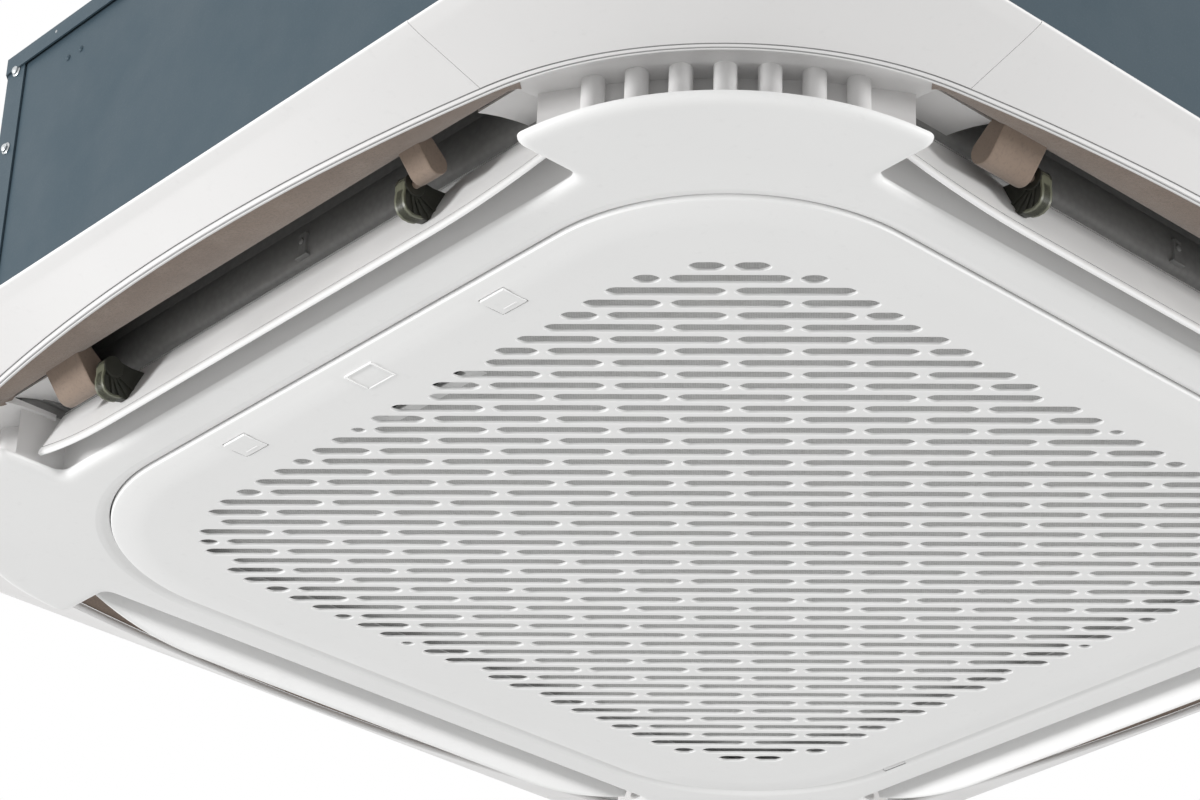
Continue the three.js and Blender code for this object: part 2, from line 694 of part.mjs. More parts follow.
// The corner's flared roof, from the ring's lip in to the back wall.
function cornerRoof() {
  const lower = [
    [LIP_SEAM, LIP_SEAM_Z],
    [-9, LIP / 2],
    [-24, -ROOF_SKIN - 2],
    [-ROOF_DEPTH, -ROOF_SKIN + FRAME_TOP],
  ];
  const upper = [
    [-ROOF_DEPTH, FRAME_TOP],
    [-20, FRAME_TOP],
    [3.2, LIP_SEAM_Z + ROOF_SKIN],
  ];
  return loft(cornerStations(ROOF_START).map((station) => placeSection(station, [...lower, ...upper])));
}

function makePanelFrame() {
  const outer = prism(frameOutline(0), FRAME_BOTTOM, FRAME_TOP);
  const inner = prism(frameOutline(FRAME_WALL), FRAME_BOTTOM - 1, FRAME_TOP + 1);
  const wall = cut(outer, inner);
  const middle = (RIB_COUNT - 1) / 2;
  const ribs = Array.from({ length: RIB_COUNT }, (_, i) => cornerRib((i - middle) * RIB_PITCH));
  const opening = OUTLET_HALF - 0.5;
  const clear = box(-opening, opening, -PANEL_HALF, PANEL_HALF, FRAME_BOTTOM - 1, 1);
  const corner = cut(join(cornerRoof(), ...ribs), clear, clear.rotate([0, 0, 90]));
  const corners = SIDES.map((_, k) => corner.rotate([0, 0, 90 * k]));
  addMesh(cassette, "panel_frame", join(wall, ...corners), white());
}

function makeDuctGasket() {
  const outer = prism(frameOutline(-1), 0, PAN_BOTTOM - SEAT);
  const inner = prism(frameOutline(9), -1, PAN_BOTTOM + 1);
  addMesh(cassette, "duct_gasket", cut(outer, inner), blackPlastic());
}

// ---------------------------------------------------------------- outlets and louvers

function flareSection(s) {
  const lip = lipRadius(s);
  const curve = bezier([lip + LIP_SEAM, LIP_SEAM_Z], [DUCT_OUTER + 3.5, -9], [DUCT_OUTER, 8], 4);
  const face = [...curve, [DUCT_OUTER, FLARE_TOP]];
  const back = offsetLine(face, FLARE_SKIN).reverse();
  return [...face, ...back].map(([r, z]) => [s, -r, z]);
}

const MOTOR_ARM_END = MOTOR_ARM_START + ARM_WIDTH;
const BEARING_ARM_END = BEARING_ARM_START + ARM_WIDTH;
const LOUVER_MOTOR_END = MOTOR_BLOCK_START + LOUVER_MOTOR_LENGTH;

// A finger that hangs from the flare with the pivot in its round end.
function blockProfile() {
  const end = arc(PIVOT_R, PIVOT_Z, BLOCK_END_RADIUS, Math.PI * 0.75, Math.PI * 1.75, 6);
  return [[DUCT_OUTER + 2, 2.5], ...end, [DUCT_OUTER + 12, -5]];
}

const pivotPin = (radius, s0, s1) => sidePin(radius, TINY_ROUND, PIVOT_R, PIVOT_Z, s0, s1);

const motorCylinder = (radius, s0, s1) => sidePin(radius, SMALL_ROUND, PIVOT_R, PIVOT_Z, s0, s1);

function makeOutletFlare() {
  const flare = loft([-FLARE_HALF, ...SIDE_STATIONS, FLARE_HALF].map(flareSection));
  const motorBlock = sideBar(blockProfile(), MOTOR_BLOCK_START, MOTOR_BLOCK_END);
  const bearingBlock = sideBar(blockProfile(), BEARING_BLOCK_START, BEARING_BLOCK_END);
  const motorPin = pivotPin(PIN_RADIUS, MOTOR_BLOCK_END - 1, MOTOR_ARM_START + PIN_DEPTH);
  const bearingPin = pivotPin(PIN_RADIUS, BEARING_ARM_END - PIN_DEPTH, BEARING_BLOCK_START + 1);
  const pocket = motorCylinder(LOUVER_MOTOR_RADIUS + SEAT, MOTOR_BLOCK_START - 1, LOUVER_MOTOR_END + SEAT);
  return cut(join(flare, motorBlock, bearingBlock, motorPin, bearingPin), pocket);
}

const makeLouverMotor = () => motorCylinder(LOUVER_MOTOR_RADIUS, MOTOR_BLOCK_START, LOUVER_MOTOR_END);

// A point of the blade: chord runs down from its straight top edge, depth goes in from its outer face.
function bladePoint(chord, depth) {
  const r = BLADE_TOP_R + chord * Math.sin(BLADE_TILT) - depth * Math.cos(BLADE_TILT);
  const z = BLADE_TOP_RISE - chord * Math.cos(BLADE_TILT) - depth * Math.sin(BLADE_TILT);
  return [r, z];
}

function chordAt(s) {
  const past = Math.max(Math.abs(s) - BLADE_STRAIGHT, 0);
  return BLADE_CHORD - (BLADE_BOW - Math.sqrt(BLADE_BOW ** 2 - past ** 2));
}

function bladeSection(s) {
  const chord = chordAt(s);
  const corners = [
    [0, 0],
    [chord, 0],
    [chord, BLADE_THICKNESS],
    [0, BLADE_THICKNESS],
  ];
  return corners.map(([c, d]) => bladePoint(c, d)).map(([r, z]) => [s, -r, z]);
}

// An arm reaches from the blade's outer face to an eye round the pivot, with a round rim below it.
function armProfile() {
  const eye = arc(PIVOT_R, PIVOT_Z, ARM_EYE_RADIUS, Math.PI * 0.6, -Math.PI * 0.35, 5);
  const rim = arc(PIVOT_R, PIVOT_Z, ARM_REACH, -Math.PI * 0.5, -Math.PI * 0.65, 2);
  return [bladePoint(12, 1), [PIVOT_R - 14, PIVOT_Z + 5], ...eye, ...rim, bladePoint(37, 1)];
}

function makeLouver() {
  const end = [BLADE_STRAIGHT, 170, 193, 216, BLADE_HALF];
  const stations = [...end.map((s) => -s).reverse(), ...end];
  const blade = loft(stations.map(bladeSection));
  const motorArm = sideBar(armProfile(), MOTOR_ARM_START, MOTOR_ARM_END);
  const bearingArm = sideBar(armProfile(), BEARING_ARM_START, BEARING_ARM_END);
  const boreRadius = PIN_RADIUS + PIN_CLEARANCE;
  const boreDepth = PIN_DEPTH + PIN_CLEARANCE;
  const motorBore = pivotPin(boreRadius, MOTOR_ARM_START - 1, MOTOR_ARM_START + boreDepth);
  const bearingBore = pivotPin(boreRadius, BEARING_ARM_END - boreDepth, BEARING_ARM_END + 1);
  return cut(join(blade, motorArm, bearingArm), motorBore, bearingBore);
}

function makeOutlets() {
  const flare = makeOutletFlare();
  const motor = makeLouverMotor();
  const louver = makeLouver();
  SIDES.forEach((name, k) => {
    addMesh(sideGroups[k], "outlet_flare_" + name, flare, flock());
    addMesh(sideGroups[k], "louver_motor_" + name, motor, galvanised());
    addMesh(sideGroups[k], "louver_" + name, louver, white());
  });
}

// ---------------------------------------------------------------- intake grille, latches, filter

// Half the length of the slot field on a line along the diagonal, a distance from the centre.
function fieldReach(distance) {
  const middle = SLOT_FIELD_HALF - SLOT_FIELD_RADIUS;
  const diagonal = middle / HALF_SQRT2;
  if (distance < SLOT_FIELD_RADIUS * HALF_SQRT2) {
    return diagonal + Math.sqrt(SLOT_FIELD_RADIUS ** 2 - distance ** 2);
  }
  if (distance < (SLOT_FIELD_HALF + middle) * HALF_SQRT2) {
    return SLOT_FIELD_HALF / HALF_SQRT2 - distance;
  }
  return Math.sqrt(Math.max(SLOT_FIELD_RADIUS ** 2 - (distance - diagonal) ** 2, 0));
}

// Slots run along the grille's diagonal, in rows whose bridges are staggered like bricks.
function slotCutters() {
  const positions = [];
  const corner = fieldReach(0) - SLOT_WIDTH / 2;
  const rows = Math.floor(corner / SLOT_ROW_PITCH);
  for (let row = -rows; row <= rows; row++) {
    const across = row * SLOT_ROW_PITCH;
    const reach = fieldReach(Math.abs(across) + SLOT_WIDTH / 2);
    const shift = row % 2 === 0 ? SLOT_PITCH / 2 : 0;
    const most = Math.ceil(reach / SLOT_PITCH) + 1;
    for (let i = -most; i <= most; i++) {
      const from = Math.max(shift + i * SLOT_PITCH + SLOT_BRIDGE / 2, -reach);
      const to = Math.min(shift + (i + 1) * SLOT_PITCH - SLOT_BRIDGE / 2, reach);
      if (to - from < SLOT_SHORTEST) continue;
      positions.push([from, to, across]);
    }
  }
  return positions.map(([from, to, across]) => {
    const [low, high] = [across - SLOT_WIDTH / 2, across + SLOT_WIDTH / 2];
    const plan = [[from, low], [to, low], [to, high], [from, high]];
    return plan.map(([t, d]) => [(t - d) * HALF_SQRT2, (t + d) * HALF_SQRT2]);
  });
}

function latchHole(side) {
  const [w, l] = [LATCH_WIDTH / 2 + LATCH_GAP, LATCH_LENGTH / 2 + LATCH_GAP];
  const x = side * LATCH_X;
  return box(x - l, x + l, -LATCH_R - w, -LATCH_R + w, SLOT_PLANE - 1, GRILLE_BACK + 1);
}

// An eye on the hinge axis, with a bent arm over the plate's edge to the grille's back.
function hingeArm(side) {
  const [x0, x1] = [side * HINGE_X - HINGE_WIDTH / 2, side * HINGE_X + HINGE_WIDTH / 2];
  const under = HINGE_Z + HINGE_ARM_RISE;
  const top = under + HINGE_ARM;
  const stub = box(x0, x1, HINGE_AXIS_R - HINGE_EYE_RADIUS, HINGE_AXIS_R, HINGE_Z, top);
  const across = box(x0, x1, HINGE_LEG_R, HINGE_AXIS_R, under, top);
  const leg = box(x0, x1, HINGE_LEG_R, HINGE_LEG_R + HINGE_ARM, GRILLE_BACK - 0.5, top);
  const bore = hingeRod(HINGE_BORE_RADIUS, x0 - 1, x1 + 1);
  return cut(join(hingeRod(HINGE_EYE_RADIUS, x0, x1), stub, across, leg), bore);
}

function makeGrille(parent) {
  const ring = (inset, z) =>
    roundedSquare(GRILLE_HALF - inset, GRILLE_CORNER_RADIUS - inset).map(([x, y]) => [x, y, z]);
  const plate = loft([ring(GRILLE_EDGE_WIDTH, SLOT_PLANE), ring(0, GRILLE_EDGE), ring(0, GRILLE_BACK)]);
  const fieldRadius = SLOT_FIELD_RADIUS + 2;
  const field = roundedSquare(SLOT_FIELD_HALF + 2, fieldRadius);
  const recess = prism(field, SLOT_PLANE + GRILLE_SKIN, GRILLE_BACK + 1);
  const slots = slotCutters().map((plan) => prism(plan, SLOT_PLANE - 1, GRILLE_BACK + 1));
  const allSlots = new THREE.BufferGeometry();
  allSlots.setAttribute(
    "position",
    new THREE.Float32BufferAttribute(slots.flatMap((s) => [...geometryOf(s).getAttribute("position").array]), 3),
  );
  const holes = [-1, 1].map(latchHole);
  const ribOuter = roundedSquare(FILTER_RIB_HALF, GRILLE_CORNER_RADIUS - GRILLE_HALF + FILTER_RIB_HALF);
  const ribInnerHalf = FILTER_RIB_HALF - FILTER_RIB_WIDTH;
  const ribInner = roundedSquare(ribInnerHalf, GRILLE_CORNER_RADIUS - GRILLE_HALF + ribInnerHalf);
  const ribTop = GRILLE_BACK + FILTER_RIB_HEIGHT;
  const rib = cut(prism(ribOuter, GRILLE_BACK - 1, ribTop), prism(ribInner, GRILLE_BACK - 2, ribTop + 1));
  const body = join(cut(plate, recess, solid(allSlots), ...holes), rib, hingeArm(-1), hingeArm(1));
  addMesh(parent, "intake_grille", body, white());
}

function makeLatches(parent) {
  const [l, w] = [LATCH_LENGTH / 2, LATCH_WIDTH / 2];
  const bottom = SLOT_PLANE + SEAT;
  const top = bottom + LATCH_HEIGHT;
  const flangeBottom = GRILLE_BACK + SEAT;
  [-1, 1].forEach((side) => {
    const x = side * LATCH_X;
    const button = box(x - l, x + l, -LATCH_R - w, -LATCH_R + w, bottom, top);
    const reach = LATCH_FLANGE + LATCH_GAP;
    const flange = box(x - l - reach, x + l + reach, -LATCH_R - w - reach, -LATCH_R + w + reach, flangeBottom, top);
    const name = "latch_button_" + (side < 0 ? "left" : "right");
    addMesh(parent, name, join(button, flange), white());
  });
}

function makeFilter(parent) {
  const flat = FILTER_HALF - FILTER_CORNER;
  const top = FILTER_BOTTOM + FILTER_HEIGHT;
  const whole = prism(cutSquare(FILTER_HALF, flat), FILTER_BOTTOM, top);
  const innerHalf = FILTER_HALF - FILTER_FRAME;
  const innerFlat = flat - FILTER_FRAME * Math.tan(Math.PI / 8);
  const dish = prism(cutSquare(innerHalf, innerFlat), FILTER_BOTTOM + FILTER_SHEET, top + 1);
  const barHalf = FILTER_FRAME / 2;
  const barX = box(-innerHalf - 1, innerHalf + 1, -barHalf, barHalf, FILTER_BOTTOM, top);
  const barY = box(-barHalf, barHalf, -innerHalf - 1, innerHalf + 1, FILTER_BOTTOM, top);
  const notchHalf = FILTER_NOTCH_WIDTH / 2;
  const notchNear = -FILTER_HALF + FILTER_NOTCH_DEPTH;
  const notch = box(-notchHalf, notchHalf, -FILTER_HALF - 1, notchNear, FILTER_BOTTOM - 1, top + 1);
  const body = cut(join(cut(whole, dish), barX, barY), notch);
  addMesh(parent, "air_filter", body, finish(0xb9babb, 0.8));
}

// ---------------------------------------------------------------- casing

const PIPE_CORNER = 1; // the quarter of the cut corner that the pipes leave by: +X, +Y

// A point given along a cut corner's outward diagonal and sideways from it, at the pipe corner.
const pipePoint = (diagonal, sideways, z) => [
  (diagonal - sideways) * HALF_SQRT2,
  (diagonal + sideways) * HALF_SQRT2,
  z,
];

const PIPES = [
  { offset: GAS_PIPE_OFFSET, height: GAS_PIPE_HEIGHT, radius: GAS_PIPE_RADIUS },
  { offset: LIQUID_PIPE_OFFSET, height: LIQUID_PIPE_HEIGHT, radius: LIQUID_PIPE_RADIUS },
  { offset: DRAIN_OFFSET, height: DRAIN_HEIGHT, radius: DRAIN_RADIUS },
];

function pipeHoles(clearance) {
  return PIPES.map(({ offset, height, radius }) => {
    const from = pipePoint(CORNER_DISTANCE - 2 * LINER_THICKNESS, offset, height);
    const to = pipePoint(CORNER_DISTANCE + 2 * LINER_THICKNESS, offset, height);
    return tube([from, to], radius + clearance, SMALL_ROUND, 1);
  });
}

function makeCasingTop() {
  const grown = CORNER_OUTER + SHEET + SEAT;
  const flat = CORNER_BEND + SEAT;
  const top = prism(cutSquare(grown, flat), CASING_HEIGHT - TOP_SKIRT, CASING_HEIGHT);
  const inside = prism(cutSquare(grown - SHEET, flat), CASING_HEIGHT - TOP_SKIRT - 1, CASING_HEIGHT - SHEET);
  const ring = (half, z) => circle(half, ROUND).map(([x, y]) => [x, y, z]);
  const dome = loft([ring(DOME_RADIUS, CASING_HEIGHT - 0.5), ring(DOME_RADIUS - DOME_EDGE, CASING_HEIGHT + EMBOSS)]);
  const beads = SIDES.map((_, k) => {
    const a = quarterTurn([BEAD_START, -BEAD_WIDTH / 2], k);
    const b = quarterTurn([BEAD_END, BEAD_WIDTH / 2], k);
    const [x0, x1] = [Math.min(a[0], b[0]), Math.max(a[0], b[0])];
    const [y0, y1] = [Math.min(a[1], b[1]), Math.max(a[1], b[1])];
    return box(x0, x1, y0, y1, CASING_HEIGHT - 0.5, CASING_HEIGHT + EMBOSS);
  });
  addMesh(cassette, "casing_top", join(cut(top, inside), dome, ...beads), steelBlue());
}

function glandHole() {
  return sidePin(GLAND_RADIUS + SEAT, SMALL_ROUND, 0, 0, -20, 20);
}

function makeSidePanels() {
  const half = CASING_FLAT - SHEET;
  const inner = CASING_HALF - SHEET;
  SIDES.forEach((name, k) => {
    const wall = box(-half, half, -CASING_HALF, -inner, CASING_BOTTOM, INSIDE_TOP);
    const lip = box(-half, half, -CASING_HALF, -CASING_HALF + BOTTOM_FLANGE, CASING_BOTTOM, CASING_BOTTOM + SHEET);
    const turnedHole = glandHole().rotate([0, 0, 90]).translate([GLAND_X, -CASING_HALF, GLAND_HEIGHT]);
    const panel = join(wall, lip);
    const body = name === "rear" ? cut(panel, turnedHole) : panel;
    addMesh(sideGroups[k], "side_panel_" + name, body, steelBlue());
  });
}

// A folded corner panel: a flange on each side, over the side panels, and the cut corner between.
function makeCornerPanels() {
  const outer = CORNER_OUTER;
  const bend = CORNER_BEND;
  const start = CASING_FLAT - SEAM_FLANGE;
  const faces = [[start, -outer], [bend, -outer], [outer, -bend], [outer, -start]];
  const inset = SHEET * Math.tan(Math.PI / 8);
  const backs = [
    [outer - SHEET, -start],
    [outer - SHEET, -bend + inset],
    [bend - inset, -outer + SHEET],
    [start, -outer + SHEET],
  ];
  SIDES.forEach((name, k) => {
    const plain = prism([...faces, ...backs], CASING_BOTTOM, INSIDE_TOP);
    const holes = pipeHoles(WALL_HOLE_CLEARANCE).map((hole) => hole.rotate([0, 0, -90 * PIPE_CORNER]));
    const body = k === PIPE_CORNER ? cut(plain, ...holes) : plain;
    addMesh(sideGroups[k], "corner_panel_" + name, body, steelBlue());
  });
}

function makeHangers() {
  const face = CORNER_DISTANCE + SEAT;
  const half = EAR_WIDTH / 2;
  const place = ([d, t, z]) => [(d + t) * HALF_SQRT2, (t - d) * HALF_SQRT2, z];
  const slab = (d0, d1, t0, t1, z0, z1) =>
    loft([z0, z1].map((z) => [[d0, t0], [d1, t0], [d1, t1], [d0, t1]].map(([d, t]) => place([d, t, z]))));
  const plate = slab(face, face + EAR_THICKNESS, -half, half, EAR_HEIGHT - EAR_PLATE_HEIGHT, EAR_HEIGHT);
  const ear = slab(face, face + EAR_REACH, -half, half, EAR_HEIGHT - EAR_THICKNESS, EAR_HEIGHT);
  const slotHalf = (EAR_SLOT_LENGTH - EAR_SLOT_WIDTH) / 2;
  const centre = face + EAR_SLOT_CENTRE;
  const ends = [
    ...arc(centre, slotHalf, EAR_SLOT_WIDTH / 2, 0, Math.PI, 6),
    ...arc(centre, -slotHalf, EAR_SLOT_WIDTH / 2, Math.PI, 2 * Math.PI, 6),
  ];
  const slot = loft([EAR_HEIGHT - 10, EAR_HEIGHT + 10].map((z) => ends.map(([d, t]) => place([d, t, z]))));
  const body = cut(join(plate, ear), slot);
  SIDES.forEach((name, k) => addMesh(sideGroups[k], "hanger_bracket_" + name, body, galvanised()));
}

function makeLiner() {
  const bottom = PAN_TOP + SEAT;
  const outer = prism(cutSquare(INSIDE_HALF, INSIDE_FLAT), bottom, INSIDE_TOP);
  const innerFlat = INSIDE_FLAT - LINER_THICKNESS * Math.tan(Math.PI / 8);
  const inner = prism(cutSquare(INSIDE_HALF - LINER_THICKNESS, innerFlat), bottom - 1, INSIDE_TOP + 1);
  const holes = pipeHoles(WALL_HOLE_CLEARANCE);
  addMesh(cassette, "foam_liner", cut(outer, inner, ...holes), foamWhite());
}

// ---------------------------------------------------------------- drain pan, bell mouth, coil

// The square path of the coil with round corners, as a band between two offsets from its outside.
function coilBand(outerOffset, innerOffset, bottom, top) {
  const outerHalf = COIL_HALF + outerOffset;
  const outerRadius = COIL_CORNER_RADIUS + outerOffset;
  const innerHalf = COIL_HALF - innerOffset;
  const innerRadius = Math.max(COIL_CORNER_RADIUS - innerOffset, 1);
  const outer = prism(roundedSquare(outerHalf, outerRadius, 4), bottom, top);
  const inner = prism(roundedSquare(innerHalf, innerRadius, 4), bottom - 1, top + 1);
  return cut(outer, inner);
}

function outletDuct() {
  const inner = DUCT_INNER;
  const outer = DUCT_OUTER + FLARE_SKIN + FLARE_GAP;
  const edge = arc(
    inner - PAN_EDGE_RADIUS,
    PAN_BOTTOM + PAN_EDGE_RADIUS,
    PAN_EDGE_RADIUS,
    -Math.PI / 2,
    0,
    4,
  ).map(([r, z]) => [r, z]);
  const profile = [...edge, [inner, PAN_TOP + 1], [outer, PAN_TOP + 1], [outer, PAN_BOTTOM - 1], [edge[0][0], PAN_BOTTOM - 1]];
  return sideBar(profile, -DUCT_HALF, DUCT_HALF);
}

function makeDrainPan() {
  const block = prism(cutSquare(INSIDE_HALF, INSIDE_FLAT), PAN_BOTTOM, PAN_TOP);
  const hole = post(PAN_HOLE_RADIUS, 2 * ROUND, 0, 0, PAN_BOTTOM - 1, PAN_TOP + 1);
  const ducts = SIDES.map((_, k) => outletDuct().rotate([0, 0, 90 * k]));
  const trough = coilBand(TROUGH_MARGIN, COIL_DEPTH + TROUGH_MARGIN, TROUGH_FLOOR, PAN_TOP + 1);
  addMesh(cassette, "drain_pan", cut(block, hole, ...ducts, trough), foamDark());
}

function makeBellMouth() {
  const flangeZ = PAN_BOTTOM - SEAT;
  const face = [
    [BELL_FLANGE_RADIUS, flangeZ - BELL_SKIN],
    [PAN_HOLE_RADIUS - 4, flangeZ - BELL_SKIN],
    [BELL_THROAT_RADIUS + 14, flangeZ + 12],
    [BELL_THROAT_RADIUS, BELL_TOP - 34],
    [BELL_THROAT_RADIUS, BELL_TOP],
  ];
  const back = [
    [BELL_THROAT_RADIUS + BELL_SKIN, BELL_TOP],
    [BELL_THROAT_RADIUS + BELL_SKIN, BELL_TOP - 33],
    [BELL_THROAT_RADIUS + 16, flangeZ + 14],
    [PAN_HOLE_RADIUS - 4, flangeZ],
    [BELL_FLANGE_RADIUS, flangeZ],
  ];
  addMesh(cassette, "bell_mouth", lathe([...face, ...back], BELL_ROUND), blackPlastic());
}

function makeCoil() {
  const bottom = TROUGH_FLOOR + SEAT;
  const band = coilBand(0, COIL_DEPTH, bottom, INSIDE_TOP);
  const far = COIL_HALF + 10;
  const corner = box(COIL_END, far, COIL_END, far, bottom - 1, INSIDE_TOP + 1);
  addMesh(cassette, "cooling_coil", cut(band, corner), finish(0xb4b8ba, 0.35, 0.9));
  const near = COIL_HALF - COIL_DEPTH - END_PLATE_MARGIN;
  const outer = COIL_HALF + END_PLATE_MARGIN;
  const from = COIL_END + SEAT;
  const right = box(near, outer, from, from + END_PLATE, bottom, INSIDE_TOP);
  const rear = box(from, from + END_PLATE, near, outer, bottom, INSIDE_TOP);
  addMesh(cassette, "coil_end_plate_right", right, galvanised());
  addMesh(cassette, "coil_end_plate_rear", rear, galvanised());
}

// ---------------------------------------------------------------- fan

function fanBlade(turn) {
  const camber = bezier([FAN_INLET_RADIUS - 45, 0], [FAN_RADIUS - 42, 8], [FAN_RADIUS - 3, 62], 4);
  const back = offsetLine(camber, 3.5).reverse();
  const plan = [...camber, ...back.slice(1, -1)];
  const [cosine, sine] = [Math.cos(turn), Math.sin(turn)];
  const turned = plan.map(([x, y]) => [x * cosine - y * sine, x * sine + y * cosine]);
  return prism(turned, BELL_TOP + FAN_LIFT, FAN_TOP - 1);
}

function makeFan(parent) {
  const hub = lathe(
    [
      [SHAFT_RADIUS + SEAT, HUB_FLOOR],
      [HUB_RADIUS, HUB_FLOOR],
      [HUB_RADIUS + 28, FAN_TOP - FAN_SKIN],
      [FAN_RADIUS, FAN_TOP - FAN_SKIN],
      [FAN_RADIUS, FAN_TOP],
      [HUB_RADIUS + 26, FAN_TOP],
      [HUB_RADIUS - 2, HUB_FLOOR + FAN_SKIN],
      [HUB_BOSS_RADIUS, HUB_FLOOR + FAN_SKIN],
      [HUB_BOSS_RADIUS, HUB_FLOOR + 16],
      [SHAFT_RADIUS + SEAT, HUB_FLOOR + 16],
    ],
    ROUND,
  );
  const shroud = lathe(
    [
      [FAN_INLET_RADIUS, FAN_BOTTOM],
      [FAN_INLET_RADIUS + FAN_SKIN, FAN_BOTTOM],
      [FAN_INLET_RADIUS + 6, FAN_BOTTOM + 12],
      [FAN_RADIUS, FAN_BOTTOM + 24],
      [FAN_RADIUS, FAN_BOTTOM + 27],
      [FAN_INLET_RADIUS + 3, FAN_BOTTOM + 15],
    ],
    ROUND,
  );
  const blades = Array.from({ length: FAN_BLADES }, (_, i) => fanBlade((i / FAN_BLADES) * 2 * Math.PI));
  const skirted = blades.map((blade) => cut(blade, shroudShadow()));
  addMesh(parent, "turbo_fan", join(hub, shroud, ...skirted), finish(0xd9dadb, 0.6));
  const bossTop = HUB_FLOOR - SEAT;
  const nutHole = post(SHAFT_RADIUS + SEAT, SMALL_ROUND, 0, 0, SHAFT_BOTTOM, HUB_FLOOR);
  const nut = cut(prism(circle(NUT_RADIUS, 6), bossTop - 8, bossTop), nutHole);
  addMesh(parent, "fan_nut", nut, galvanised());
  const shaftTop = MOTOR_BOTTOM + 36;
  addMesh(parent, "fan_shaft", post(SHAFT_RADIUS, SMALL_ROUND, 0, 0, SHAFT_BOTTOM, shaftTop), galvanised());
}

// What lies below the shroud's sloping ring, so that a blade ends on it.
function shroudShadow() {
  return lathe(
    [
      [FAN_INLET_RADIUS + 1, FAN_BOTTOM],
      [FAN_RADIUS + 10, FAN_BOTTOM],
      [FAN_RADIUS + 10, FAN_BOTTOM + 27],
      [FAN_RADIUS, FAN_BOTTOM + 25.5],
      [FAN_INLET_RADIUS + 1, FAN_BOTTOM + 13],
    ],
    ROUND,
  );
}

function makeFanMotor() {
  const top = INSIDE_TOP;
  const body = post(MOTOR_RADIUS, ROUND, 0, 0, MOTOR_BOTTOM, top - 14);
  const feet = [0, 1, 2].map((i) => {
    const half = MOTOR_FOOT_WIDTH / 2;
    const foot = box(0, MOTOR_FOOT_REACH, -half, half, top - 24, top - 18);
    const leg = box(MOTOR_FOOT_REACH - 18, MOTOR_FOOT_REACH, -half, half, top - 24, top);
    return join(foot, leg).rotate([0, 0, 120 * i]);
  });
  const bore = post(SHAFT_RADIUS + SEAT, SMALL_ROUND, 0, 0, MOTOR_BOTTOM - 1, MOTOR_BOTTOM + 36 + SEAT);
  addMesh(cassette, "fan_motor", cut(join(body, ...feet), bore), blackPlastic());
}

// ---------------------------------------------------------------- drain pump

const FLOAT_X = PUMP_X + FLOAT_OFFSET;
const FLOAT_Y = PUMP_Y - 4;

function makeDrainPump() {
  const roof = PUMP_FLOOR + PUMP_VOLUTE_HEIGHT;
  const volute = post(PUMP_VOLUTE_RADIUS, ROUND, PUMP_X, PUMP_Y, PUMP_FLOOR, roof);
  const chamber = post(PUMP_VOLUTE_RADIUS - PUMP_WALL, ROUND, PUMP_X, PUMP_Y, PUMP_FLOOR - 1, roof - PUMP_WALL);
  const column = post(PUMP_COLUMN_RADIUS, SMALL_ROUND, PUMP_X, PUMP_Y, roof - 1, PUMP_MOTOR_BOTTOM + 1);
  const motor = post(PUMP_MOTOR_RADIUS, ROUND, PUMP_X, PUMP_Y, PUMP_MOTOR_BOTTOM, PUMP_MOTOR_TOP);
  const bore = post(3 + SEAT, TINY_ROUND, PUMP_X, PUMP_Y, PUMP_FLOOR, PUMP_MOTOR_BOTTOM - 10);
  const plateBottom = PAN_TOP + SEAT;
  const plateTop = plateBottom + PUMP_PLATE_THICKNESS;
  const [w, l] = [PUMP_PLATE_WIDTH / 2, PUMP_PLATE_LENGTH / 2];
  const plate = box(PUMP_X - w, PUMP_X + w, PUMP_Y - l, PUMP_Y + l, plateBottom, plateTop);
  const floatArm = box(PUMP_X, FLOAT_X + 8, FLOAT_Y - 8, FLOAT_Y + 8, plateBottom, plateTop);
  const stem = post(FLOAT_STEM_RADIUS, TINY_ROUND, FLOAT_X, FLOAT_Y, TROUGH_FLOOR + SEAT, plateTop - 1);
  const stop = post(FLOAT_STEM_RADIUS + 3, TINY_ROUND, FLOAT_X, FLOAT_Y, TROUGH_FLOOR + SEAT, TROUGH_FLOOR + 3);
  const body = cut(join(volute, column, motor, plate, floatArm, stem, stop), chamber, bore);
  addMesh(cassette, "drain_pump", body, finish(0xe3e2da, 0.5));

  const bladeTop = roof - PUMP_WALL - 2;
  const wheel = post(PUMP_VOLUTE_RADIUS - PUMP_WALL - 3, SMALL_ROUND, PUMP_X, PUMP_Y, bladeTop - 2, bladeTop);
  const spindle = post(3, TINY_ROUND, PUMP_X, PUMP_Y, PUMP_FLOOR + 3, PUMP_MOTOR_BOTTOM - 11);
  const vanes = [0, 60, 120].map((turn) => {
    const half = PUMP_VOLUTE_RADIUS - PUMP_WALL - 5;
    const vane = box(-half, half, -1, 1, PUMP_FLOOR + 4, bladeTop - 1).rotate([0, 0, turn]);
    return vane.translate([PUMP_X, PUMP_Y, 0]);
  });
  addMesh(cassette, "pump_impeller", join(wheel, spindle, ...vanes), blackPlastic());

  const floatBottom = TROUGH_FLOOR + 3 + SEAT;
  const ball = post(FLOAT_RADIUS, SMALL_ROUND, FLOAT_X, FLOAT_Y, floatBottom, floatBottom + FLOAT_HEIGHT);
  const floatBore = post(FLOAT_STEM_RADIUS + SEAT, TINY_ROUND, FLOAT_X, FLOAT_Y, floatBottom - 1, plateTop);
  addMesh(cassette, "pump_float", cut(ball, floatBore), finish(0xf2f0e8, 0.6));
}

// ---------------------------------------------------------------- pipes

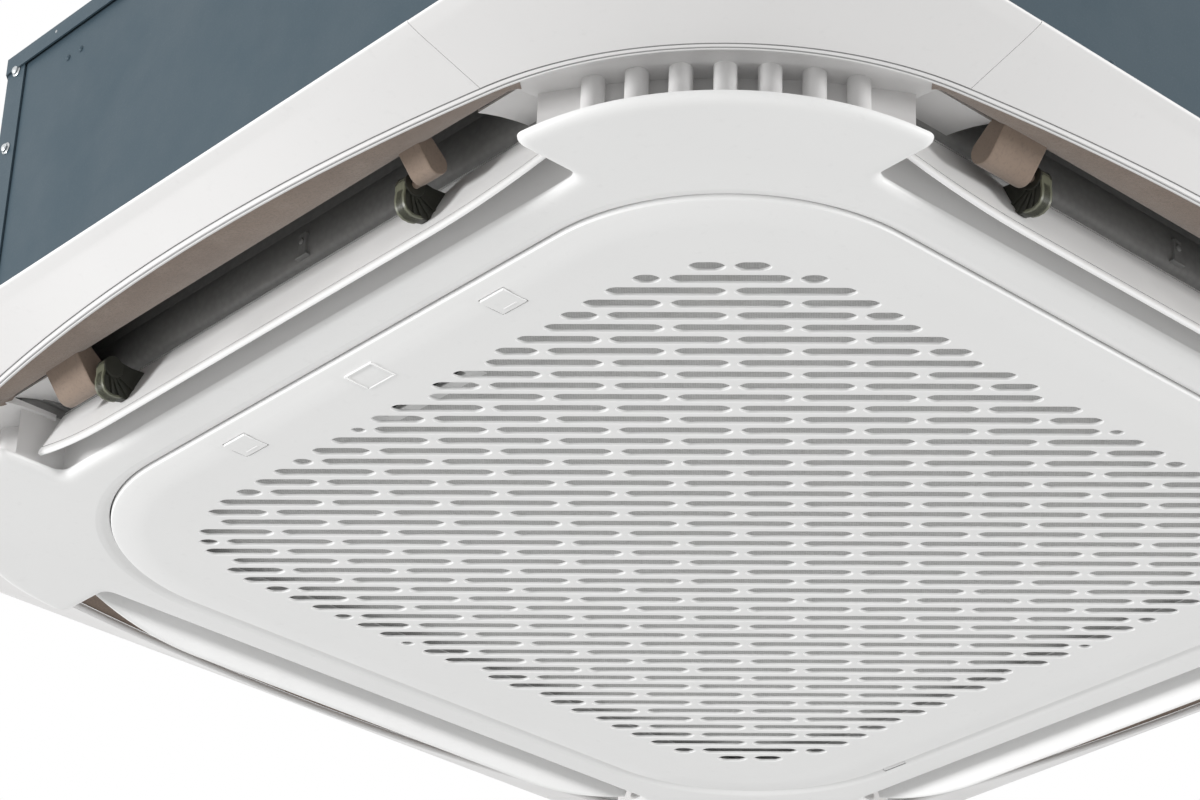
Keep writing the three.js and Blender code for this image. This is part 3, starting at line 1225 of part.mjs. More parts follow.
function makePipes() {
  const coilMiddle = COIL_HALF - COIL_DEPTH / 2;
  const coilEnd = COIL_END + END_PLATE + 2 * SEAT;
  const fromCoil = (offset, height) => [
    [coilMiddle, coilEnd, height],
    [coilMiddle, coilEnd + 32, height],
    pipePoint(CORNER_DISTANCE - 70, offset, height),
    pipePoint(CORNER_DISTANCE - 34, offset, height),
    pipePoint(PIPE_END, offset, height),
  ];
  const drainRoute = [
    [PUMP_X, PUMP_Y, PUMP_MOTOR_TOP + SEAT],
    [PUMP_X, PUMP_Y, DRAIN_HEIGHT - 22],
    pipePoint(CORNER_DISTANCE - 62, DRAIN_OFFSET, DRAIN_HEIGHT),
    pipePoint(CORNER_DISTANCE - 34, DRAIN_OFFSET, DRAIN_HEIGHT),
    pipePoint(PIPE_END, DRAIN_OFFSET, DRAIN_HEIGHT),
  ];
  const gas = tube(fromCoil(GAS_PIPE_OFFSET, GAS_PIPE_HEIGHT), GAS_PIPE_RADIUS, TINY_ROUND, 14);
  const liquid = tube(fromCoil(LIQUID_PIPE_OFFSET, LIQUID_PIPE_HEIGHT), LIQUID_PIPE_RADIUS, TINY_ROUND, 14);
  const drain = tube(drainRoute, DRAIN_RADIUS, TINY_ROUND, 12);
  addMesh(cassette, "gas_pipe", gas, copper());
  addMesh(cassette, "liquid_pipe", liquid, copper());
  addMesh(cassette, "drain_pipe", drain, finish(0xe3e2da, 0.5));
  const nut = (offset, radius, z) => {
    const from = pipePoint(PIPE_END + SEAT, offset, z);
    const to = pipePoint(PIPE_END + FLARE_NUT_LENGTH, offset, z);
    return tube([from, to], radius * 1.6, 6, 1);
  };
  addMesh(cassette, "gas_flare_nut", nut(GAS_PIPE_OFFSET, GAS_PIPE_RADIUS, GAS_PIPE_HEIGHT), brass());
  const liquidNut = nut(LIQUID_PIPE_OFFSET, LIQUID_PIPE_RADIUS, LIQUID_PIPE_HEIGHT);
  addMesh(cassette, "liquid_flare_nut", liquidNut, brass());
}

// ---------------------------------------------------------------- electrical box

function makeControls() {
  const top = PAN_BOTTOM - SEAT;
  const bottom = top - BOX_DEPTH;
  const shell = box(-BOX_HALF_LENGTH, BOX_HALF_LENGTH, BOX_NEAR, BOX_FAR, bottom, top);
  const inside = box(
    -BOX_HALF_LENGTH + BOX_WALL,
    BOX_HALF_LENGTH - BOX_WALL,
    BOX_NEAR + BOX_WALL,
    BOX_FAR - BOX_WALL,
    bottom - 1,
    top - BOX_WALL,
  );
  const posts = [-1, 1].flatMap((side) =>
    [BOX_NEAR + 14, BOX_FAR - 14].map((y) => post(4, TINY_ROUND, side * (BOX_HALF_LENGTH - 20), y, top - 10, top - 1)),
  );
  addMesh(cassette, "control_box", join(cut(shell, inside), ...posts), galvanised());
  const cover = box(-BOX_HALF_LENGTH, BOX_HALF_LENGTH, BOX_NEAR, BOX_FAR, bottom - SEAT - SHEET, bottom - SEAT);
  addMesh(cassette, "control_box_cover", cover, galvanised());
  const boardTop = top - 10 - SEAT;
  const inset = BOX_WALL + 3;
  const board = box(
    -BOX_HALF_LENGTH + inset,
    BOX_HALF_LENGTH - inset,
    BOX_NEAR + inset,
    BOX_FAR - inset,
    boardTop - BOARD_THICKNESS,
    boardTop,
  );
  // Each: start and size along the board, start and size across it, height; all but the height are shares.
  const chips = [
    [0.09, 0.14, 0.2, 0.4, 9],
    [0.3, 0.1, 0.43, 0.32, 12],
    [0.5, 0.15, 0.15, 0.57, 7],
    [0.74, 0.09, 0.37, 0.41, 11],
    [0.86, 0.11, 0.18, 0.63, 8],
  ].map(([x, dx, y, dy, dz]) => {
    const [x0, y0] = [-BOX_HALF_LENGTH + inset, BOX_NEAR + inset];
    const [along, across] = [2 * (BOX_HALF_LENGTH - inset), BOX_WIDTH - 2 * inset];
    const [bottomZ, topZ] = [boardTop - BOARD_THICKNESS - dz, boardTop - 1];
    return box(x0 + x * along, x0 + (x + dx) * along, y0 + y * across, y0 + (y + dy) * across, bottomZ, topZ);
  });
  addMesh(cassette, "control_board", join(board, ...chips), finish(0x2c5a3c, 0.6));
}

function makeGland() {
  const inner = CASING_HALF - SHEET;
  const outer = CASING_HALF + SEAT;
  const along = (radius, from, to) =>
    loft([from, to].map((r) => circle(radius, SMALL_ROUND).map(([s, z]) => [GLAND_X + s, -r, GLAND_HEIGHT + z])));
  const stem = along(GLAND_RADIUS, inner, outer + 1);
  const collar = along(GLAND_RADIUS + 3, outer, outer + 5);
  const dome = along(GLAND_RADIUS - 1, outer + 4, outer + GLAND_LENGTH);
  const bore = along(GLAND_RADIUS - 4, inner - 1, outer + GLAND_LENGTH + 1);
  addMesh(sideGroups[2], "cable_gland", cut(join(stem, collar, dome), bore), blackPlastic());
}

// ---------------------------------------------------------------- assembly

makeCasingTop();
makeSidePanels();
makeCornerPanels();
makeHangers();
makeLiner();
makeDrainPan();
makeBellMouth();
makeCoil();
makeFan(cassette);
makeFanMotor();
makeDrainPump();
makePipes();
makeControls();
makeGland();
makeOuterRing();
makeCornerCovers();
makeCentrePlate();
makePanelFrame();
makeDuctGasket();
makeOutlets();
const grilleDoor = new THREE.Group();
cassette.add(grilleDoor);
makeGrille(grilleDoor);
makeLatches(grilleDoor);
makeFilter(grilleDoor);

export default cassette;
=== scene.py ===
import math

import bmesh
import bpy
from mathutils import Matrix, Vector
from mathutils.geometry import tessellate_polygon


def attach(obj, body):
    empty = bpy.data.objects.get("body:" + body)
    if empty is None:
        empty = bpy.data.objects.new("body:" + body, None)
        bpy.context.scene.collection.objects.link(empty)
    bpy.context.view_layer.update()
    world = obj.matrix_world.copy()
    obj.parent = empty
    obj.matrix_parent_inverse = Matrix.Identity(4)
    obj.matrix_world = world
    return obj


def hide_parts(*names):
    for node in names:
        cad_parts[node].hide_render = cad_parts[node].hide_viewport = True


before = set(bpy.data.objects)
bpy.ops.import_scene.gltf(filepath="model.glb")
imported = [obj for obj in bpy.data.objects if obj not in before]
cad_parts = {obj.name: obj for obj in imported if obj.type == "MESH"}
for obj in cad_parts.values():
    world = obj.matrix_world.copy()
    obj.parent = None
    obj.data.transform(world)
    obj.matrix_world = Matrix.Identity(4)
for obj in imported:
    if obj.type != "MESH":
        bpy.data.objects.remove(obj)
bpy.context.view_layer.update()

# The look of a four-way ceiling cassette. Shapes are drawn in millimetres, in the frame of the solids:
# z = 0 is the ceiling, each side is drawn as the front one, and a side point is (s, r, z) at x = s, y = -r.

MM = 0.001
SIDES = ("front", "right", "rear", "left")
HALF = math.sqrt(0.5)

# ---- dimensions

# the panel's ring: half its side, its corner radius, and the lip along its inner edge
PANEL = 475.0
PANEL_ROUND = 30.0
LIP_MID = 438.0
LIP_BOW = 1480.0
LIP_START = 245.0
LIP_Z = -19.6
SEAM = 242.0
COVER_IN = 6.0
RING_STEP = 23.6
REBATE = 2.7
# the faces of the ring's two grooves, drawn grey as painted shade
RING_GROOVE_SHADE = (15, 22)
# the centre plate: its side edge, the half length of an outlet, the corner lobes
EDGE = 353.0
OUTLET = 241.0
LOBE_REACH = 403.0
LOBE_FILLET = 8.0
LOBE_ROUND = 7.0
PLATE_Z = -42.0
PLATE_TOP = -37.0
# the wall and the roof behind the outlets
WALL_LOW = -36.7
WALL_TOP = -0.3
WALL_SETBACK = 39.0
ROOF_START = 238.8
ROOF_EDGE = 240.5
SHELF_SPANS = ((203, 241), (-241, -190))
NOSE_PITCH = 23.5
NOSE_LENGTH = 20
NOSE_RADIUS = 6.5
# the grille and its slots, which run along the diagonal
GRILLE = 322.5
GRILLE_ROUND = 133.0
GAP = 1.5
SLOT_Z = -45.0
SHEET_HALF = 1.15
SHEET_EDGE = 291.0
FIELD = 269.7
FIELD_ROUND = 93.0
ROW_PITCH = 13.45
SLOT_PITCH = 73.6
SLOT_HALF = 4.5
SLOT_TIP_GAP = 4.3
SLOT_PAST = 3.5
SLOT_LEAST = 9
SLOT_FULL = 15
LATCH_X = 120.0
LATCH_R = 302.0
SQUARE = ((0, -311.0, 25, 0.9), (0, -293.0, 25, 0.9), (-12.1, -302, 0.9, 18), (12.1, -302, 0.9, 18))
HINGE_X = 180
HINGE_R = 327.5
HINGE_Z = -38.6
HINGE_HALF = 10
POCKET_HALF = 10.6
PIN_HALF = 11.4
# the outlets: duct, brown liner with its pointed ends, pivot blocks
DUCT_OUT = 392.5
DUCT_LIP_HALF = 239
FLARE_HALF = 237.5
FLARE_THICK = 2.3
TIP_START = 235.5
TIP_LENGTH = 30.5
TIP_NARROWS = 238
MOTOR_BLOCK = (-191.8, -158)
PIVOT_BLOCK = (147, 164)
STUBS = ((-159, -146.5), (135, 151))
# the louvers
PIVOT = (386.0, -15.0)
BLADE_TOP = (358.0, 2.0)
BLADE_TILT = math.radians(25)
BLADE_HALF = 238.0
BLADE_STRAIGHT = 147.0
BLADE_BOW = 280.0
BLADE_CHORD = 54.0
BLADE_THICK = 3.2
# the faces of the blade's grooves, drawn grey as painted shade
BLADE_GROOVE_SHADE = (1, 2, 6, 7)
ARM_STARTS = (-152, 132)
ARM_WIDTH = 9.5
# the filter: half its side, its cut corners, and the notch at the latch side
FILTER = 285.5
FILTER_Z = -33.0
FILTER_CORNER = 48.0
NOTCH = (-48, 26)
NOTCH_DEPTH = 34.0
FILTER_BARS = (-205, -137, -68, 0, 68, 137, 205)
# the casing: screw heights along the corner flanges, rivets as (x, z), screws under the top's rim
CASING = 420.0
FLANGE_X = 243
SCREW_HEIGHTS = (20, 96, 172, 232)
RIVETS = ((170, 214), (184, 214), (120, 60), (60, 214), (74, 214))
RIM_PITCH = 66
RIM_Z = 240
# the background
FLOOR = 15000
FLOOR_Z = -5000

# the angle in degrees from which an edge is drawn sharp, and the material index of the grey strips of
# painted shade in fine grooves
SHARP = 32.0
GROOVE_SHADE_MARK = 3

# ---- materials


class Look:
    """A procedural material: layers of colour, roughness and bump over one shader."""

    def __init__(self, name, colour, roughness, metallic=0.0, sheen=0.0, specular=0.5):
        self.material = bpy.data.materials.new(name)
        self.material.use_nodes = True
        self.tree = self.material.node_tree
        self.shader = self.tree.nodes["Principled BSDF"]
        self.roughness = roughness
        self.colour = (*colour, 1.0)
        values = {"Base Color": self.colour, "Roughness": roughness, "Metallic": metallic,
                  "Sheen Weight": sheen, "Specular IOR Level": specular}
        for key, value in values.items():
            self.shader.inputs[key].default_value = value
        self.place = self.tree.nodes.new("ShaderNodeTexCoord").outputs["Object"]

    def add(self, kind, inputs, **settings):
        node = self.tree.nodes.new("ShaderNode" + kind)
        for key, value in settings.items():
            setattr(node, key, value)
        for key, value in inputs.items():
            if isinstance(value, bpy.types.NodeSocket):
                self.tree.links.new(value, node.inputs[key])
            else:
                node.inputs[key].default_value = value
        return node

    def at(self, stretch, turn=0.0):
        values = {"Vector": self.place, "Scale": stretch, "Rotation": (0, 0, turn)}
        return self.add("Mapping", values).outputs[0]

    def noise(self, scale, detail, where=None):
        values = {"Vector": where or self.place, "Scale": scale, "Detail": detail, "Roughness": 0.55}
        return self.add("TexNoise", values).outputs[0]

    def cells(self, scale, output="Distance"):
        values = {"Vector": self.place, "Scale": scale}
        return self.add("TexVoronoi", values).outputs[output]

    def bands(self, scale, direction, turn=0.0):
        values = {"Vector": self.at((1, 1, 1), turn), "Scale": scale}
        return self.add("TexWave", values, bands_direction=direction, wave_profile="SIN").outputs["Fac"]

    def span(self, value, low, high, start=0.3, end=0.7):
        values = {"Value": value, "From Min": start, "From Max": end, "To Min": low, "To Max": high}
        return self.add("MapRange", values).outputs[0]

    def both(self, a, b, operation="MULTIPLY"):
        return self.add("Math", {0: a, 1: b}, operation=operation).outputs[0]

    def tint(self, factor, colour):
        """Lays a colour over what is there, by a factor from 0 to 1 that varies over the surface."""
        socket = self.shader.inputs["Base Color"]
        below = socket.links[0].from_socket if socket.is_linked else self.colour
        node = self.add("Mix", {0: factor, 6: below, 7: (*colour, 1.0)}, data_type="RGBA")
        self.tree.links.new(node.outputs[2], socket)

    def stain(self, scale, detail, most, start, end, colour):
        """Lays a colour over the surface in clouds, where the noise is between start and end or above."""
        self.tint(self.span(self.noise(scale, detail), 0.0, most, start, end), colour)

    def rough(self, value, spread):
        varied = self.span(value, self.roughness - spread, self.roughness + spread)
        self.tree.links.new(varied, self.shader.inputs["Roughness"])

    def bump(self, height, depth, strength=1.0):
        socket = self.shader.inputs["Normal"]
        values = {"Height": height, "Distance": depth * MM, "Strength": strength}
        if socket.is_linked:
            values["Normal"] = socket.links[0].from_socket
        self.tree.links.new(self.add("Bump", values).outputs[0], socket)

    def grain(self, scale, detail, depth, strength=1.0):
        self.bump(self.noise(scale, detail), depth, strength)


def show(name, data):
    """A new object in the scene."""
    piece = bpy.data.objects.new(name, data)
    bpy.context.scene.collection.objects.link(piece)
    return piece


def scaled(colour, factor):
    return tuple(c * factor for c in colour)


def moulded(name, colour, roughness, grain=0.012, dust=0.5):
    """Moulded plastic: fine spark grain, uneven gloss, faint dust and scuffs."""
    look = Look(name, colour, roughness)
    look.stain(7.0, 5.0, 0.55 * dust, 0.45, 0.8, scaled(colour, 0.9))
    look.stain(160.0, 3.0, 0.5 * dust, 0.62, 0.8, scaled(colour, 0.84))
    look.tint(look.span(look.cells(420.0), 0.5 * dust, 0.0, 0.02, 0.06), scaled(colour, 0.72))
    look.rough(look.noise(23.0, 6.0), 0.09)
    look.grain(1500.0, 2.0, grain)
    look.grain(11.0, 2.0, 0.12, 0.25)
    return look.material


def flocked():
    """The fluffy brown coat of the outlet liners."""
    look = Look("flocked_liner", (0.25, 0.19, 0.15), 0.93, sheen=0.35, specular=0.2)
    look.stain(16.0, 6.0, 0.55, 0.42, 0.68, (0.175, 0.13, 0.105))
    look.stain(46.0, 5.0, 0.4, 0.5, 0.72, (0.33, 0.265, 0.22))
    look.stain(700.0, 3.0, 0.55, 0.45, 0.65, (0.155, 0.118, 0.096))
    look.rough(look.noise(60.0, 4.0), 0.06)
    look.grain(1900.0, 4.0, 0.16)
    look.grain(230.0, 4.0, 0.2, 0.5)
    return look.material


def dark_foam():
    look = Look("drain_pan_foam", (0.29, 0.289, 0.285), 0.48)
    beads = look.cells(240.0)
    look.tint(look.span(beads, 0.0, 0.25, 0.3, 0.7), (0.16, 0.16, 0.157))
    look.stain(9.0, 5.0, 0.5, 0.45, 0.75, (0.31, 0.308, 0.3))
    look.rough(look.noise(35.0, 4.0), 0.12)
    look.bump(beads, 0.12, 0.35)
    look.grain(600.0, 3.0, 0.05)
    return look.material


def pale_foam():
    look = Look("insulating_foam", (0.68, 0.68, 0.65), 0.9)
    beads = look.cells(260.0)
    look.tint(look.span(beads, 0.0, 0.5, 0.3, 0.7), (0.5, 0.5, 0.48))
    look.stain(8.0, 5.0, 0.5, 0.5, 0.8, (0.58, 0.56, 0.5))
    look.rough(look.noise(40.0, 4.0), 0.06)
    look.bump(beads, 0.35, 0.7)
    return look.material


def casing_paint():
    look = Look("casing_paint", (0.048, 0.074, 0.093), 0.45, metallic=0.1, specular=0.2)
    look.stain(4.0, 5.0, 0.35, 0.4, 0.75, (0.058, 0.085, 0.104))
    streak = look.noise(30.0, 5.0, look.at((1, 1, 0.06)))
    look.tint(look.span(streak, 0.0, 0.35, 0.5, 0.75), (0.04, 0.064, 0.082))
    look.tint(look.span(look.cells(150.0), 0.6, 0.0, 0.015, 0.05), (0.14, 0.175, 0.195))
    look.stain(900.0, 2.0, 0.3, 0.55, 0.7, (0.085, 0.12, 0.145))
    look.rough(look.noise(18.0, 6.0), 0.12)
    look.grain(420.0, 3.0, 0.05)
    look.grain(6.0, 2.0, 0.6, 0.3)
    return look.material


def galvanised():
    look = Look("galvanised_steel", (0.42, 0.44, 0.45), 0.38, metallic=0.85)
    shade = look.add("SeparateColor", {0: look.cells(90.0, "Color")}).outputs[0]
    look.tint(look.span(shade, 0.0, 0.7, 0.2, 0.9), (0.62, 0.64, 0.65))
    look.stain(20.0, 5.0, 0.5, 0.55, 0.8, (0.3, 0.3, 0.29))
    look.rough(shade, 0.12)
    look.grain(300.0, 3.0, 0.03)
    return look.material


def filter_mesh():
    look = Look("filter_mesh", (0.66, 0.66, 0.655), 0.72)
    weave = look.both(look.bands(210.0, "X", math.pi / 4), look.bands(210.0, "Y", math.pi / 4))
    look.tint(look.span(weave, 0.6, 0.0, 0.1, 0.6), (0.5, 0.5, 0.495))
    look.stain(12.0, 5.0, 0.5, 0.5, 0.8, (0.64, 0.635, 0.62))
    look.rough(look.noise(50.0, 4.0), 0.08)
    look.bump(weave, 0.2)
    return look.material


def fin_pack():
    look = Look("fin_pack", (0.5, 0.52, 0.54), 0.35, metallic=0.9)
    fins = look.both(look.bands(170.0, "X"), look.bands(170.0, "Y"), "ADD")
    look.tint(look.span(fins, 0.8, 0.0, 0.4, 1.2), (0.12, 0.13, 0.14))
    look.stain(9.0, 4.0, 0.4, 0.5, 0.8, (0.6, 0.58, 0.5))
    look.rough(look.noise(30.0, 4.0), 0.1)
    look.bump(fins, 0.5)
    return look.material


def metal(name, colour, stain, roughness):
    """Bare metal with stains, darker spots and drawing marks."""
    look = Look(name, colour, roughness, metallic=1.0)
    look.stain(25.0, 6.0, 0.7, 0.45, 0.75, stain)
    look.stain(140.0, 4.0, 0.4, 0.55, 0.75, scaled(colour, 0.5))
    look.rough(look.noise(60.0, 5.0), 0.14)
    look.bump(look.noise(500.0, 3.0, look.at((1, 1, 0.1))), 0.02)
    return look.material


def circuit():
    look = Look("circuit_board", (0.02, 0.12, 0.05), 0.4)
    tracks = look.cells(120.0)
    look.tint(look.span(tracks, 0.9, 0.0, 0.08, 0.14), (0.35, 0.27, 0.1))
    look.stain(60.0, 2.0, 0.8, 0.52, 0.56, (0.01, 0.06, 0.03))
    look.rough(look.noise(40.0, 3.0), 0.1)
    look.bump(tracks, 0.1)
    return look.material


def shaded_block_flock():
    # the pivot blocks' brown flock, made darker than the liner's: the extra darkness is painted shade
    look = Look("block_flock_shaded", (0.25, 0.19, 0.148), 0.85, sheen=0.3, specular=0.25)
    look.stain(30.0, 5.0, 0.5, 0.45, 0.7, (0.2, 0.148, 0.116))
    look.stain(500.0, 3.0, 0.4, 0.5, 0.7, (0.165, 0.125, 0.1))
    look.rough(look.noise(50.0, 4.0), 0.07)
    look.grain(1500.0, 4.0, 0.1)
    return look.material


MATERIALS = {
    "panel_white": moulded("panel_white", (0.84, 0.84, 0.836), 0.42),
    "ring_white": moulded("ring_white", (0.755, 0.748, 0.744), 0.46),
    "flocked_liner": flocked(),
    "filter_mesh": filter_mesh(),
    "casing_paint": casing_paint(),
    "galvanised_steel": galvanised(),
    "insulating_foam": pale_foam(),
    "drain_pan_foam": dark_foam(),
    "fin_pack": fin_pack(),
    "fan_plastic": moulded("fan_plastic", (0.07, 0.072, 0.075), 0.5, grain=0.02, dust=1.0),
    "black_plastic": moulded("black_plastic", (0.022, 0.023, 0.025), 0.55, grain=0.03, dust=1.0),
    "copper_pipe": metal("copper_pipe", (0.62, 0.3, 0.17), (0.3, 0.13, 0.07), 0.32),
    "brass_nut": metal("brass_nut", (0.6, 0.44, 0.2), (0.36, 0.25, 0.11), 0.33),
    "circuit_board": circuit(),
}
ARM = moulded("arm_plastic", (0.036, 0.037, 0.029), 0.42, grain=0.02, dust=0.8)
# painted highlight: the rim's lighter olive is the arm's dark plastic shown as lit
RIM_HIGHLIGHT = moulded("arm_rim_highlight_plastic", (0.12, 0.125, 0.087), 0.4, grain=0.02, dust=0.8)
SHADED_BLOCK = shaded_block_flock()
# painted shade: a mid grey for the faces down in fine grooves
GROOVE_SHADE = moulded("groove_shade_grey", (0.4, 0.4, 0.4), 0.6)

# ---- shape helpers


def turned(point, quarters):
    """A point turned about the z axis by a number of quarter turns."""
    x, y, z = point
    for _ in range(quarters % 4):
        x, y = -y, x
    return (x, y, z)


class Shape:
    """Closed shells that become one piece."""

    def __init__(self):
        self.points = []
        self.faces = []
        self.marks = []

    def face(self, corners, mark=0):
        self.faces.append(tuple(corners))
        self.marks.append(mark)

    def loft(self, rings, loop=False, mark=0, shade_strips=()):
        """A skin over rings of equal count, capped unless it loops; the strips whose indices are given last
        are drawn in grey, as painted shade in grooves.
        """
        base, count = len(self.points), len(rings[0])
        for ring in rings:
            self.points += [tuple(p) for p in ring]
        spans = len(rings) if loop else len(rings) - 1
        for i in range(spans):
            near = base + i * count
            far = base + (i + 1) % len(rings) * count
            for j in range(count):
                k = (j + 1) % count
                self.face((near + j, near + k, far + k, far + j), GROOVE_SHADE_MARK if j in shade_strips else mark)
        if not loop:
            self.face(range(base + count - 1, base - 1, -1), mark)
            last = base + (len(rings) - 1) * count
            self.face(range(last, last + count), mark)
        return self

    def bar(self, profile, s0, s1, ease=0.0, mark=0):
        """A bar along a side over a profile of (r, z); ease rounds its two ends."""
        cr = sum(p[0] for p in profile) / len(profile)
        cz = sum(p[1] for p in profile) / len(profile)
        size = max(math.hypot(r - cr, z - cz) for r, z in profile)
        rings = []
        steps = [(0.0, 1.0), (0.3, 0.35), (1.0, 0.0)] if ease else [(0.0, 0.0)]
        places = [(s0 + a * ease, 1 - b * ease / size) for a, b in steps]
        places += [(s1 - a * ease, 1 - b * ease / size) for a, b in reversed(steps)]
        for s, share in places:
            rings.append([(s, -(cr + (r - cr) * share), cz + (z - cz) * share) for r, z in profile])
        return self.loft(rings, mark=mark)

    def turn(self, profile, centre, count):
        """A closed lathed shell over (radius, height) points, standing out of the front side."""
        way = Vector((0, -1, 0))
        across = way.orthogonal().normalized()
        up = way.cross(across)
        rings = []
        for radius, height in profile:
            ring = []
            for i in range(count):
                angle = 2 * math.pi * i / count
                offset = across * (radius * math.cos(angle)) + up * (radius * math.sin(angle))
                ring.append(Vector(centre) + way * height + offset)
            rings.append(ring)
        return self.loft(rings)

    def turned(self, quarters):
        other = Shape()
        other.points = [turned(p, quarters) for p in self.points]
        other.faces, other.marks = list(self.faces), list(self.marks)
        return other

    def join(self, other):
        base = len(self.points)
        self.points += other.points
        self.faces += [tuple(i + base for i in f) for f in other.faces]
        self.marks += other.marks
        return self

    def object(self, name, materials, sharp=SHARP):
        mesh = bpy.data.meshes.new(name)
        mesh.from_pydata([(x * MM, y * MM, z * MM) for x, y, z in self.points], [], self.faces)
        for material in materials:
            mesh.materials.append(material)
        for face, mark in zip(mesh.polygons, self.marks):
            face.material_index = mark
        finish_mesh(mesh, sharp)
        piece = show(name, mesh)
        weigh(piece)
        return piece

    def piece(self, name, body, slot, *nodes, looks=None, sharp=SHARP):
        """The shape as a piece that rides on a body, in its slot's material unless it has its own looks."""
        settle(self.object(name + "_look", looks or [MATERIALS[slot]], sharp), body, slot, *nodes)


def finish_mesh(mesh, sharp):
    """Welds the mesh, turns its normals outward and shades it smooth up to an angle in degrees."""
    work = bmesh.new()
    work.from_mesh(mesh)
    bmesh.ops.remove_doubles(work, verts=work.verts, dist=1e-7)
    bmesh.ops.triangulate(work, faces=[f for f in work.faces if len(f.verts) > 4])
    bmesh.ops.recalc_face_normals(work, faces=work.faces)
    for face in work.faces:
        face.smooth = True
    for edge in work.edges:
        edge.smooth = len(edge.link_faces) == 2 and edge.calc_face_angle(0.0) < math.radians(sharp)
    work.to_mesh(mesh)
    work.free()


def weigh(piece):
    modifier = piece.modifiers.new("weighted", "WEIGHTED_NORMAL")
    modifier.keep_sharp = True


def settle(piece, body, slot, *nodes):
    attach(piece, body)
    if nodes:
        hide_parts(*nodes)


def evaluated(piece):
    """An object's mesh with its modifiers applied."""
    bpy.context.view_layer.update()
    graph = bpy.context.evaluated_depsgraph_get()
    return bpy.data.meshes.new_from_object(piece.evaluated_get(graph))


def carve(piece, cutter):
    """Takes the cutter out of a piece, and deletes the cutter."""
    piece.modifiers.clear()
    modifier = piece.modifiers.new("carve", "BOOLEAN")
    modifier.object = cutter
    modifier.solver = "EXACT"
    mesh = evaluated(piece)
    piece.modifiers.clear()
    piece.data = mesh
    bpy.data.objects.remove(cutter)
    finish_mesh(mesh, SHARP)
    weigh(piece)


def arc(cx, cy, radius, start, end, steps):
    angles = [start + (end - start) * i / steps for i in range(steps + 1)]
    return [(cx + radius * math.cos(a), cy + radius * math.sin(a)) for a in angles]


def bezier(p0, p1, p2, steps):
    points = []
    for i in range(steps + 1):
        t = i / steps
        a, b, c = (1 - t) ** 2, 2 * t * (1 - t), t * t
        points.append((a * p0[0] + b * p1[0] + c * p2[0], a * p0[1] + b * p1[1] + c * p2[1]))
    return points


def four_fold(half):
    """A whole outline from the points between the middle of the front side and the corner's diagonal."""
    x, y = half[-1]
    back = half[:-1] if abs(x + y) < 1e-6 else half
    corner = half + [(-y, -x) for x, y in reversed(back)]
    return [turned((x, y, 0), k)[:2] for k in range(4) for x, y in corner]


def rounded_square(half, radius, steps):
    middle = half - radius
    return four_fold(arc(middle, -middle, radius, -math.pi / 2, -math.pi / 4, steps))


def at_height(outline, z):
    return [(x, y, z) for x, y in outline]


def slab(x0, y0, x1, y1, low, high):
    plan = [(x0, y0), (x1, y0), (x1, y1), (x0, y1)]
    return [at_height(plan, low), at_height(plan, high)]


def rounded_box(centre, size, ease, steps=2):
    """Rings of a box with round upright edges and eased upper and lower rims."""
    (cx, cy, cz), (lx, ly, lz) = centre, size
    rings = []
    for inset, z in ((ease, -lz / 2), (0.3 * ease, -lz / 2 + 0.3 * ease), (0, -lz / 2 + ease),
                     (0, lz / 2 - ease), (0.3 * ease, lz / 2 - 0.3 * ease), (ease, lz / 2)):
        hx, hy = lx / 2 - inset, ly / 2 - inset
        round_ = max(ease * 1.2 - inset * 0.5, 0.05)
        ring = []
        for qx, qy, start in ((1, -1, -90), (1, 1, 0), (-1, 1, 90), (-1, -1, 180)):
            ring += arc(cx + qx * (hx - round_), cy + qy * (hy - round_), round_,
                        math.radians(start), math.radians(start + 90), steps)
        rings.append(at_height(ring, cz + z))
    return rings


# ---- ring and corner covers


def lip_radius(s):
    """The lip's r along the flat arc of a side, up to LIP_START."""
    return LIP_MID - (LIP_BOW - math.sqrt(LIP_BOW ** 2 - s * s))


TURN = math.asin(LIP_START / LIP_BOW)
ARC = (lip_radius(LIP_START) - LIP_START) / (math.cos(TURN) - math.sin(TURN))
ARC_CENTRE = LIP_START - ARC * math.sin(TURN)
LIP_APEX = ARC_CENTRE / HALF + ARC
LOBE_APEX = LIP_APEX - 10


def lip_at(s):
    """The lip's r at any place along a side, also on the corner arc."""
    s = abs(s)
    return lip_radius(s) if s < LIP_START else ARC_CENTRE + math.sqrt(ARC ** 2 - (s - ARC_CENTRE) ** 2)


def station(lip, edge):
    """A place on the lip as its point, the direction outward and the reach to the panel's edge."""
    reach = math.hypot(edge[0] - lip[0], edge[1] - lip[1])
    return lip, ((edge[0] - lip[0]) / reach, (edge[1] - lip[1]) / reach), reach


def side_station(s):
    return station((s, -lip_radius(s)), (s, -PANEL))


def corner_station(share):
    """A station on the lip's corner arc, which bends from one side's end to the next side's start."""
    start = -math.pi / 2 + TURN
    angle = start + share * (-TURN - start)
    dx, dy = math.cos(angle), math.sin(angle)
    lip = (ARC_CENTRE + ARC * dx, -ARC_CENTRE + ARC * dy)
    run = (PANEL - ARC_CENTRE) / max(dx, -dy)
    gap = PANEL - PANEL_ROUND - ARC_CENTRE
    along = gap * dx - gap * dy
    beside = 2 * gap ** 2 - along ** 2
    if beside < PANEL_ROUND ** 2:
        run = min(run, along + math.sqrt(PANEL_ROUND ** 2 - beside))
    return station(lip, (ARC_CENTRE + run * dx, -ARC_CENTRE + run * dy))


def corner_stations(start):
    """The stations from the end of a side, round its corner, to the mirrored place on the next side."""
    steps = 18
    half = [side_station(start)] + [corner_station(0.5 * (i / steps) ** 0.9) for i in range(steps + 1)]
    other = [((-l[1], -l[0]), (-o[1], -o[0]), reach) for l, o, reach in reversed(half[:-1])]
    return half + other


